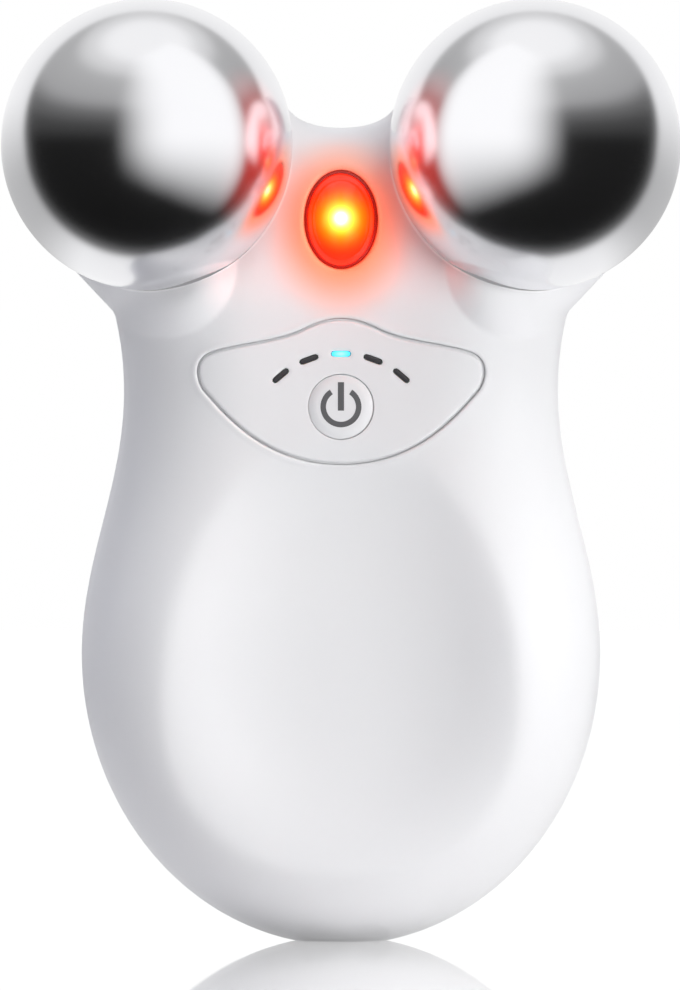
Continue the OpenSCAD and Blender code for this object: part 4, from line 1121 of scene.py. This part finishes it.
def wear(piece, finish):
    """Gives a piece one finish."""
    piece.data.materials.clear()
    piece.data.materials.append(finishes[finish])

# %% [markdown]
# ## Repeats with Geometry Nodes
# Five level windows stand on an arc, and four plugs stand at mirrored places on the back. A node
# tree puts copies of one small mesh there. Its inputs carry the real sizes, so the pattern can be
# changed without touching the mesh. The result is made real and becomes plain geometry.

# %% Node tree helpers
def new_tree(name, inputs):
    """A Geometry Nodes tree with its geometry, named inputs and a material."""
    tree = bpy.data.node_groups.new(name, "GeometryNodeTree")
    for label, kind in {"Geometry": "Geometry", **inputs, "Material": "Material"}.items():
        tree.interface.new_socket(label, in_out="INPUT", socket_type="NodeSocket" + kind)
    tree.interface.new_socket("Geometry", in_out="OUTPUT", socket_type="NodeSocketGeometry")
    return tree, add_node(tree, "NodeGroupInput").outputs


def end_tree(tree, given, geometry):
    """Realizes what the tree made, gives it its material and sends it out."""
    real = add_node(tree, "GeometryNodeRealizeInstances", {0: geometry})
    worn = add_node(tree, "GeometryNodeSetMaterial", {"Geometry": real, "Material": given["Material"]})
    add_node(tree, "NodeGroupOutput", {0: worn})


def grow_tree(piece, tree, values):
    """Runs a tree on a piece with the given inputs, and keeps the plain mesh that it makes."""
    modifier = piece.modifiers.new("grow", "NODES")
    modifier.node_group = tree
    for item in tree.interface.items_tree:
        if item.in_out == "INPUT" and item.name in values:
            modifier[item.identifier] = values[item.name]
    evaluated = piece.evaluated_get(bpy.context.evaluated_depsgraph_get())
    mesh = bpy.data.meshes.new_from_object(evaluated)
    piece.modifiers.remove(modifier)
    piece.data = mesh
    turn_outwards(piece)


# %% Level windows on their arc
def arc_tree():
    tree, given = new_tree("windows_on_an_arc", {
        "Count": "Int", "Step": "Float", "Arc Radius": "Float", "Centre": "Vector", "Lit": "Bool"})
    points = add_node(tree, "GeometryNodeMeshLine", {"Count": given["Count"], "Offset": (0, 0, 0)})
    index = add_node(tree, "GeometryNodeInputIndex")
    last = add_node(tree, "ShaderNodeMath", {0: given["Count"], 1: 1.0}, operation="SUBTRACT")
    middle = add_node(tree, "ShaderNodeMath", {0: last, 1: 2.0}, operation="DIVIDE")
    away = add_node(tree, "ShaderNodeMath", {0: index, 1: middle}, operation="SUBTRACT")
    angle = add_node(tree, "ShaderNodeMath", {0: away, 1: given["Step"]}, operation="MULTIPLY")
    parts = {}
    for axis, rule in (("X", "SINE"), ("Z", "COSINE")):
        share = add_node(tree, "ShaderNodeMath", {0: angle}, operation=rule)
        parts[axis] = add_node(tree, "ShaderNodeMath", {0: share, 1: given["Arc Radius"]},
                               operation="MULTIPLY")
    reach = add_node(tree, "ShaderNodeCombineXYZ", parts)
    place = add_node(tree, "ShaderNodeVectorMath", {0: reach, 1: given["Centre"]}, operation="ADD")
    placed = add_node(tree, "GeometryNodeSetPosition", {"Geometry": points, "Position": place})
    is_middle = add_node(tree, "FunctionNodeCompare", {0: away, 1: 0.0}, data_type="FLOAT", operation="EQUAL")
    chosen = add_node(tree, "FunctionNodeBooleanMath", {0: is_middle, 1: given["Lit"]}, operation="XNOR")
    turn_by = add_node(tree, "ShaderNodeCombineXYZ", {"Y": angle})
    copies = add_node(tree, "GeometryNodeInstanceOnPoints", {
        "Points": placed, "Selection": chosen, "Instance": given["Geometry"],
        "Rotation": turn_by})
    end_tree(tree, given, copies)
    return tree


LEVEL_DEEP = 2.6
LEVEL_FACE_Y = -(SEAM + float(front_depth(LEVEL_C + [0, ARC_R])[0]) - 0.06)


def level_window():
    """One window: a bar with round ends and a softly rounded front, long side along X."""
    rings = []
    for inset, y in ((0.14, 0.0), (0.06, 0.02), (0.02, 0.06), (0, 0.14)):
        ring = pill_outline((0, 0), LEVEL_L - 2 * inset, LEVEL_H - 2 * inset, 8)
        ring = evenly(np.vstack([ring, ring[:1]]), 0.01)[:-1]
        rings.append((ring[np.linspace(0, len(ring), 40, endpoint=False).astype(int)], y))
    return ringed_solid(rings, [0, 0, 0], LEVEL_DEEP)


windows_tree = arc_tree()
levels = {}
for name, lit, slot in (("level_windows_dark", False, "level_dark"), ("level_window_lit", True, "level_lit")):
    levels[name] = new_piece(name, *level_window())
    grow_tree(levels[name], windows_tree, {
        "Count": LEVELS, "Step": math.radians(LEVEL_STEP), "Arc Radius": ARC_R * MM,
        "Centre": (0.0, LEVEL_FACE_Y * MM, LEVEL_C[1] * MM), "Lit": lit, "Material": finishes[slot]})
    crisp(levels[name], 40)

# %% Screw plugs at their mirrored places
def mirrored_tree():
    tree, given = new_tree("four_mirrored_places", {"Upper": "Vector", "Lower": "Vector"})
    spots = []
    for label in ("Upper", "Lower"):
        for way in (1, -1):
            place = add_node(tree, "ShaderNodeVectorMath", {0: given[label], 1: (way, 1, 1)},
                             operation="MULTIPLY")
            spots.append(add_node(tree, "GeometryNodePoints", {"Count": 1, "Position": place}))
    joined = add_node(tree, "GeometryNodeJoinGeometry")
    for spot in spots:
        feed(tree, joined, {0: spot})
    copies = add_node(tree, "GeometryNodeInstanceOnPoints", {"Points": joined, "Instance": given["Geometry"]})
    end_tree(tree, given, copies)
    return tree


PLUG_T, PLUG_SINK, PLUG_R = 2.1, 0.35, BORE_R - PLAY
plug_profile = [(0, -0.2), (0.3, -0.18), (0.45, -0.04), (0.55, 0), (PLUG_R - 0.2, 0), (PLUG_R - 0.06, -0.06),
                (PLUG_R, -0.2), (PLUG_R, -PLUG_T + 0.2), (PLUG_R - 0.2, -PLUG_T), (0, -PLUG_T)]
plugs = new_piece("screw_plugs_soft", *turned(plug_profile, (0, 0, 0), steps=48))
upper, lower = (tuple(c * MM for c in (x, float(rear_depth((x, z))[0]) + SEAM - PLUG_SINK, z))
                for x, z in CASE_PLACES)
grow_tree(plugs, mirrored_tree(), {"Upper": upper, "Lower": lower, "Material": finishes["plug_white"]})
crisp(plugs, 35)

# %% [markdown]
# ## The electrode spheres
# Each sphere is a chrome-plated ball on a threaded stud, with a flat seat where its gasket presses.
# It follows a simple rule, so a node tree makes it: a ball, its cap pushed flat at the seat, and the
# whole turned towards its stud. The mesh is fine, because a mirror shows every facet.

# %% Spheres
def seated_ball_tree():
    tree, given = new_tree("ball_with_a_seat", {"Radius": "Float", "Seat": "Float", "Stud": "Vector",
                                                "Centre": "Vector", "Segments": "Int", "Rings": "Int"})
    ball = add_node(tree, "GeometryNodeMeshUVSphere", {"Segments": given["Segments"], "Rings": given["Rings"],
                                                       "Radius": given["Radius"]})
    place = add_node(tree, "GeometryNodeInputPosition")
    split = add_node(tree, "ShaderNodeSeparateXYZ", {0: place})
    capped = add_node(tree, "ShaderNodeMath", {0: split.outputs["Z"], 1: given["Seat"]}, operation="MINIMUM")
    flat = add_node(tree, "ShaderNodeCombineXYZ", {"X": split.outputs["X"], "Y": split.outputs["Y"],
                                                   "Z": capped})
    seated = add_node(tree, "GeometryNodeSetPosition", {"Geometry": ball, "Position": flat})
    lean = add_node(tree, "FunctionNodeAlignRotationToVector", {"Vector": given["Stud"]}, axis="Z")
    put = add_node(tree, "GeometryNodeTransform", {"Geometry": seated, "Translation": given["Centre"],
                                                   "Rotation": lean})
    soft = add_node(tree, "GeometryNodeSetShadeSmooth", {"Geometry": put})
    end_tree(tree, given, soft)
    return tree


STUD, SEAT = np.array([-0.451, 0.702, -0.551]), 14.9
ball_tree = seated_ball_tree()
spheres = {}
for side, way in (("left", -1), ("right", 1)):
    spheres[side] = new_piece(f"electrode_ball_{side}", [[0, 0, 0]], [])
    grow_tree(spheres[side], ball_tree, {
        "Radius": (SPHERE_R - 0.01) * MM, "Seat": SEAT * MM, "Stud": tuple(STUD * [way, 1, 1]),
        "Centre": (way * SPHERE_X * MM, -SPHERE_FWD * MM, SPHERE_Z * MM), "Segments": 192, "Rings": 120,
        "Material": finishes["chrome"]})
    crisp(spheres[side], 10)

# %% [markdown]
# ## Riding and replacing
# Every new piece rides on the body that its CAD node belongs to, and stands in for that node. The
# button and its symbol ride on the button, so they sink together when it is pressed. The plunger of
# the switch keeps its CAD shape and rides already. The inner pieces keep their CAD meshes too, and
# only get a finish.

# %% Rides
new_pieces = [
    (front_shell, "casing", ["front_shell"], "casing_white"),
    (rear_shell, "casing", ["rear_shell"], "casing_white"),
    (tongue, "casing", [], "casing_white"),
    (panel, "casing", ["control_panel"], "casing_white"),
    (button, "button", ["power_button"], "casing_white"),
    (symbol, "button", ["button_legend"], "legend_grey"),
    (lens, "casing", ["light_window"], "window_red"),
    (bezel, "casing", ["window_bezel"], "bezel_dark"),
    (levels["level_windows_dark"], "casing", [f"light_pipe_{i}" for i in (1, 2, 4, 5)], "level_dark"),
    (levels["level_window_lit"], "casing", ["light_pipe_3"], "level_lit"),
    (plugs, "casing", ["screw_plugs"], "plug_white"),
    (spheres["left"], "casing", ["sphere_left"], "chrome"),
    (spheres["right"], "casing", ["sphere_right"], "chrome"),
]
for piece, body, nodes, slot in new_pieces:
    # the front shell wears the white plastic with the painted window glow and painted cup-lip light
    wear(piece, "shell_white_painted_glow" if piece is front_shell else slot)
    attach(piece, body)
    if nodes:
        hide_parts(*nodes)

slot_of = {part["node"]: part["material_slot"] for part in frame["record"]["subparts"]}
replaced = {node for _, _, nodes, _ in new_pieces for node in nodes}
for node, obj in frame["nodes"].items():
    if node not in replaced:
        wear(obj, slot_of[node])
print(len(new_pieces), "new pieces,", len(frame["nodes"]) - len(replaced), "CAD nodes kept")

# %% [markdown]
# ## The studio
# The device stands on a white gloss table in front of a white background. What a mirror sees is not
# what the camera sees: behind the object it is pale, above it white, and in front and to the sides
# nearly black. That gives chrome its dark shapes and its pale rim, and it is one rule, used by the
# sky and the table alike, so that no horizon shows in the spheres.

# %% What a mirror sees of the studio
def graded(tree, value, stops):
    """A brightness read from stops of (value from -1 to 1, brightness)."""
    share = add_node(tree, "ShaderNodeMapRange", {0: value, 1: -1.0, 2: 1.0})
    ramp = add_node(tree, "ShaderNodeValToRGB", {"Fac": share})
    fill_ramp(ramp, "EASE", [((at + 1) / 2, (level, level, level, 1)) for at, level in stops])
    return ramp.outputs["Color"]


def studio_brightness(tree, direction):
    """The studio's brightness along a direction of unit length, as reflections see it."""
    parts = add_node(tree, "ShaderNodeSeparateXYZ", {0: direction}).outputs
    above = graded(tree, parts["Z"], [(-1, 0.008), (0.0, 0.012), (0.22, 0.06), (0.34, 0.13), (0.55, 0.42),
                                      (0.74, 0.46), (0.86, 0.75), (0.95, 1.0)])
    dip = add_node(tree, "ShaderNodeMath", {0: parts["Z"], 1: 0.3}, operation="MULTIPLY")
    back = add_node(tree, "ShaderNodeMath", {0: parts["Y"], 1: dip}, operation="SUBTRACT")
    behind = graded(tree, back, [(0.12, 0.0), (0.28, 0.1), (0.44, 0.95), (0.9, 0.98), (0.985, 1.0)])
    # to each side, and a little down, the room behind is greyer
    aside = add_node(tree, "ShaderNodeMath", {0: parts["X"]}, operation="ABSOLUTE")
    aside = add_node(tree, "ShaderNodeMath", {0: aside, 1: 0.01}, operation="MAXIMUM")
    slant = add_node(tree, "ShaderNodeMath", {0: parts["Z"], 1: aside}, operation="DIVIDE")
    off = add_node(tree, "ShaderNodeMath", {0: slant, 1: 0.4}, operation="ADD")
    off = add_node(tree, "ShaderNodeMath", {0: off}, operation="ABSOLUTE")
    shade = add_node(tree, "ShaderNodeMapRange", {0: off, 1: 0.1, 2: 0.85, 3: 0.55, 4: 1.0},
                     interpolation_type="SMOOTHSTEP")
    straight_back = add_node(tree, "ShaderNodeMapRange", {0: aside, 1: 0.1, 2: 0.3, 3: 1.0, 4: 0.0})
    shade = add_node(tree, "ShaderNodeMath", {0: shade, 1: straight_back}, operation="MAXIMUM")
    behind = add_node(tree, "ShaderNodeMath", {0: behind, 1: shade}, operation="MULTIPLY")
    return add_node(tree, "ShaderNodeMath", {0: above, 1: behind}, operation="MAXIMUM")


# %% Table
def add_stage(name, points_mm, faces, material):
    piece = new_piece(name, points_mm, faces)
    piece.data.materials.append(material)
    return piece


def table_finish():
    """White lacquer: the camera sees mostly its mirror image of the white studio and the object."""
    material, tree = new_material("white_gloss_lacquer")
    matt = add_node(tree, "ShaderNodeBsdfDiffuse", {"Color": linear("#F2F2F2")})
    white = add_node(tree, "ShaderNodeEmission", {"Color": (1, 1, 1, 1), "Strength": 1.0})
    mirror = add_node(tree, "ShaderNodeBsdfGlossy", {"Color": (1, 1, 1, 1), "Roughness": 0.03})
    body = add_node(tree, "ShaderNodeMixShader", {0: 0.7, 1: matt, 2: white})
    lacquer = add_node(tree, "ShaderNodeMixShader", {0: 0.78, 1: body, 2: mirror})
    lift = add_node(tree, "ShaderNodeEmission", {"Color": (1, 1, 1, 1), "Strength": 0.08})
    seen = add_node(tree, "ShaderNodeAddShader", {0: lacquer, 1: lift})
    place = add_node(tree, "ShaderNodeTexCoord").outputs["Object"]
    from_sphere = add_node(tree, "ShaderNodeVectorMath", {0: place, 1: (0, SPHERE_FWD * MM, -SPHERE_Z * MM)})
    toward = add_node(tree, "ShaderNodeVectorMath", {0: from_sphere}, operation="NORMALIZE")
    pale = add_node(tree, "ShaderNodeEmission", {"Strength": studio_brightness(tree, toward)})
    ray = add_node(tree, "ShaderNodeLightPath").outputs
    sideways = add_node(tree, "ShaderNodeSeparateXYZ", {0: place}).outputs["X"]
    share = add_node(tree, "ShaderNodeMapRange", {0: sideways, 1: -0.03, 2: 0.05, 3: 0.0, 4: 0.18},
                     interpolation_type="SMOOTHSTEP")
    from_below = add_node(tree, "ShaderNodeEmission", {"Strength": share})
    light_table = add_node(tree, "ShaderNodeAddShader", {0: matt, 1: from_below})
    plain = add_node(tree, "ShaderNodeMixShader", {0: ray["Is Glossy Ray"], 1: light_table, 2: pale})
    either = add_node(tree, "ShaderNodeMixShader", {0: ray["Is Camera Ray"], 1: plain, 2: seen})
    add_node(tree, "ShaderNodeOutputMaterial", {"Surface": either})
    return material


TABLE_HALF, TABLE_Z = 2500, -0.02
add_stage("table", [(x * TABLE_HALF, y * TABLE_HALF, TABLE_Z)
                    for x, y in ((-1, -1), (1, -1), (1, 1), (-1, 1))],
          [[0, 1, 2, 3]], table_finish())

# %% [markdown]
# The sky is white to the camera, follows the mirror's rule in reflections, and as light it is an even
# pale grey, a little bluer on the left, where the photograph has a faint lilac shade.

# %% World
world = bpy.data.worlds.new("studio")
bpy.context.scene.world = world
world.use_nodes = True
sky = world.node_tree
sky.nodes.clear()
toward = add_node(sky, "ShaderNodeTexCoord").outputs["Generated"]
across = add_node(sky, "ShaderNodeSeparateXYZ", {0: toward}).outputs["X"]
sideways = add_node(sky, "ShaderNodeMapRange", {0: across, 1: -1.0, 2: 1.0})
ambient = add_node(sky, "ShaderNodeMix", {0: sideways, 6: linear("#A6A8B4"), 7: linear("#B8B8B9")},
                   data_type="RGBA")
as_light = add_node(sky, "ShaderNodeBackground", {"Color": ambient.outputs[2], "Strength": 0.12})
as_mirror = add_node(sky, "ShaderNodeBackground", {"Color": (1, 1, 1, 1),
                                                   "Strength": studio_brightness(sky, toward)})
as_white = add_node(sky, "ShaderNodeBackground", {"Color": (1, 1, 1, 1), "Strength": 1.0})
ray = add_node(sky, "ShaderNodeLightPath").outputs
straight = add_node(sky, "ShaderNodeMath", {0: ray["Is Camera Ray"], 1: ray["Is Transmission Ray"]},
                    operation="MAXIMUM")
lit = add_node(sky, "ShaderNodeMixShader", {0: ray["Is Glossy Ray"], 1: as_light, 2: as_mirror})
seen_sky = add_node(sky, "ShaderNodeMixShader", {0: straight, 1: lit, 2: as_white})
add_node(sky, "ShaderNodeOutputWorld", {"Surface": seen_sky})

# %% [markdown]
# The two spheres show mirrored highlights, which no far light can give. A soft white card stands
# close in front, folded towards the gap between them, so each sphere sees it on its inner side. Only
# reflections see it, each sphere only its own wing's back, and its edges fade out.

# %% Folded reflector card
def card_finish():
    material, tree = new_material("soft_white_card")
    place = add_node(tree, "ShaderNodeTexCoord").outputs["Object"]
    parts = add_node(tree, "ShaderNodeSeparateXYZ", {0: place}).outputs
    aside = add_node(tree, "ShaderNodeMath", {0: parts["X"]}, operation="ABSOLUTE")
    share = add_node(tree, "ShaderNodeNewGeometry").outputs["Backfacing"]
    for along, start, end, first, last in (
            (aside, 0.012, 0.036, 1.0, 0.0), (aside, 0.0005, 0.0045, 0.0, 1.0),
            (parts["Z"], 0.063, 0.087, 0.0, 1.0)):
        fade = add_node(tree, "ShaderNodeMapRange", {0: along, 1: start, 2: end, 3: first, 4: last},
                        interpolation_type="SMOOTHSTEP")
        share = add_node(tree, "ShaderNodeMath", {0: share, 1: fade}, operation="MULTIPLY")
    shine = add_node(tree, "ShaderNodeEmission", {"Color": (1, 1, 1, 1), "Strength": 1.1})
    clear = add_node(tree, "ShaderNodeBsdfTransparent")
    both = add_node(tree, "ShaderNodeMixShader", {0: share, 1: clear, 2: shine})
    add_node(tree, "ShaderNodeOutputMaterial", {"Surface": both})
    return material


fold = np.array([(0, -19.5), (3, -22), (7, -28), (13, -35.5), (24, -44), (38, -49)])
plan = np.vstack([fold[:0:-1] * [-1, 1], fold])
low, high = 40, 160
corners = [(x, y, z) for z in (low, high) for x, y in plan]
columns = len(plan)
card = add_stage("reflector_card", corners,
                 strips(rows_from(0, columns, 2), closed=False), card_finish())
card.visible_camera = card.visible_diffuse = card.visible_shadow = False

# %% [markdown]
# The spheres' inner sides mirror a broad red haze round the window. A thin upright card on the
# middle plane stands for it: it only adds red to what a reflection sees, most at its middle.

# %% Red haze card
HAZE_MIDDLE, HAZE_REACH = (-17, 83), (14, 21)


def haze_finish():
    material, tree = new_material("red_haze")
    place = add_node(tree, "ShaderNodeTexCoord").outputs["Object"]
    (y, z), (half_y, half_z) = HAZE_MIDDLE, HAZE_REACH
    centred = add_node(tree, "ShaderNodeMapping", {
        "Vector": place, "Location": (0, -y / half_y, -z / half_z),
        "Scale": (0, 1 / (half_y * MM), 1 / (half_z * MM))})
    reach = add_node(tree, "ShaderNodeVectorMath", {0: centred}, operation="LENGTH")
    level = add_node(tree, "ShaderNodeMapRange", {0: reach.outputs["Value"], 1: 0.0, 2: 1.0, 3: 0.6, 4: 0.0},
                     interpolation_type="SMOOTHSTEP")
    red = add_node(tree, "ShaderNodeEmission", {"Color": linear("#FF3C30"), "Strength": level})
    both = add_node(tree, "ShaderNodeAddShader", {0: red, 1: add_node(tree, "ShaderNodeBsdfTransparent")})
    add_node(tree, "ShaderNodeOutputMaterial", {"Surface": both})
    return material


haze_corners = [(0, HAZE_MIDDLE[0] + y * HAZE_REACH[0], HAZE_MIDDLE[1] + z * HAZE_REACH[1])
                for y, z in ((-1, -1), (1, -1), (1, 1), (-1, 1))]
haze = add_stage("red_haze_card", haze_corners, [[0, 1, 2, 3]], haze_finish())
haze.visible_camera = haze.visible_diffuse = haze.visible_shadow = False

# %% [markdown]
# The light comes in soft boxes on a dome round the object: most from the right, low and high, some
# from the front, and a little from the left, so the left flank falls off to grey. Each box is given
# by its turn from the front, its height as an angle, and the share of full white that it would give
# a white surface that faces it. A lamp of P watts at a distance d gives the share P / (pi d)^2.

# %% Lamps
LAMP_DISTANCE, LAMP_SIZE, LAMP_AIM = 700.0, 360.0, (0.0, 0.0, 45.0)


def add_soft_box(name, turn, height, share, colour="#FFFFFF"):
    """A soft square lamp that lights the object but isn't seen in its reflections."""
    lamp = bpy.data.lights.new(name, "AREA")
    lamp.shape, lamp.size = "SQUARE", LAMP_SIZE * MM
    lamp.energy, lamp.color = share * (math.pi * LAMP_DISTANCE * MM) ** 2, linear(colour)[:3]
    turn, height = math.radians(turn), math.radians(height)
    way = Vector((math.sin(turn) * math.cos(height), -math.cos(turn) * math.cos(height), math.sin(height)))
    obj = bpy.data.objects.new(name, lamp)
    obj.location = (Vector(LAMP_AIM) + LAMP_DISTANCE * way) * MM
    obj.rotation_euler = (-way).to_track_quat("-Z", "Y").to_euler()
    obj.visible_glossy = obj.visible_camera = False
    bpy.context.scene.collection.objects.link(obj)


for name, turn, height, share in (
        ("left_low", -90, 5, 0.19), ("left_high", -90, 60, 0.28), ("front", 0, 0, 0.08),
        ("right_front_low", 30, 0, 0.46), ("right_front_high", 30, 60, 0.16),
        ("right_low", 60, 0, 0.46), ("right_high", 60, 56, 0.3)):
    add_soft_box(name, turn, height, share, "#F4F5FF" if turn < 0 else "#FFFFFF")

# %% [markdown]
# The red window also lights what is near it. A small red lamp in front of the lens stands for that
# light, because the lens's own glow is too weak to reach the spheres' inner sides.

# %% Window lamp
glow_lamp = bpy.data.lights.new("window_glow", "POINT")
glow_lamp.energy, glow_lamp.color, glow_lamp.shadow_soft_size = 0.002, linear("#FF3A14")[:3], 1.5 * MM
glow_object = bpy.data.objects.new("window_glow", glow_lamp)
glow_object.location = (0, -12.6 * MM, 76.0 * MM)
glow_object.visible_camera = glow_object.visible_glossy = False
bpy.context.scene.collection.objects.link(glow_object)

# %% Camera
camera_data = bpy.data.cameras.new("camera")
camera = bpy.data.objects.new("camera", camera_data)
DISTANCE, FRAME_MID, FRAME_H = 1100.0, (-0.1, 47.4), 104.94
SENSOR = 36.0
camera_data.sensor_fit = "VERTICAL"
camera_data.sensor_height, camera_data.sensor_width = SENSOR, SENSOR * 680 / 990
camera_data.lens = SENSOR * (DISTANCE - 5) / FRAME_H
camera_data.clip_start, camera_data.clip_end = 0.05, 20
camera.location = (FRAME_MID[0] * MM, -DISTANCE * MM, FRAME_MID[1] * MM)
camera.rotation_euler = (math.pi / 2, 0, 0)
bpy.context.scene.collection.objects.link(camera)
bpy.context.scene.camera = camera
bpy.context.scene.view_settings.view_transform = "Standard"
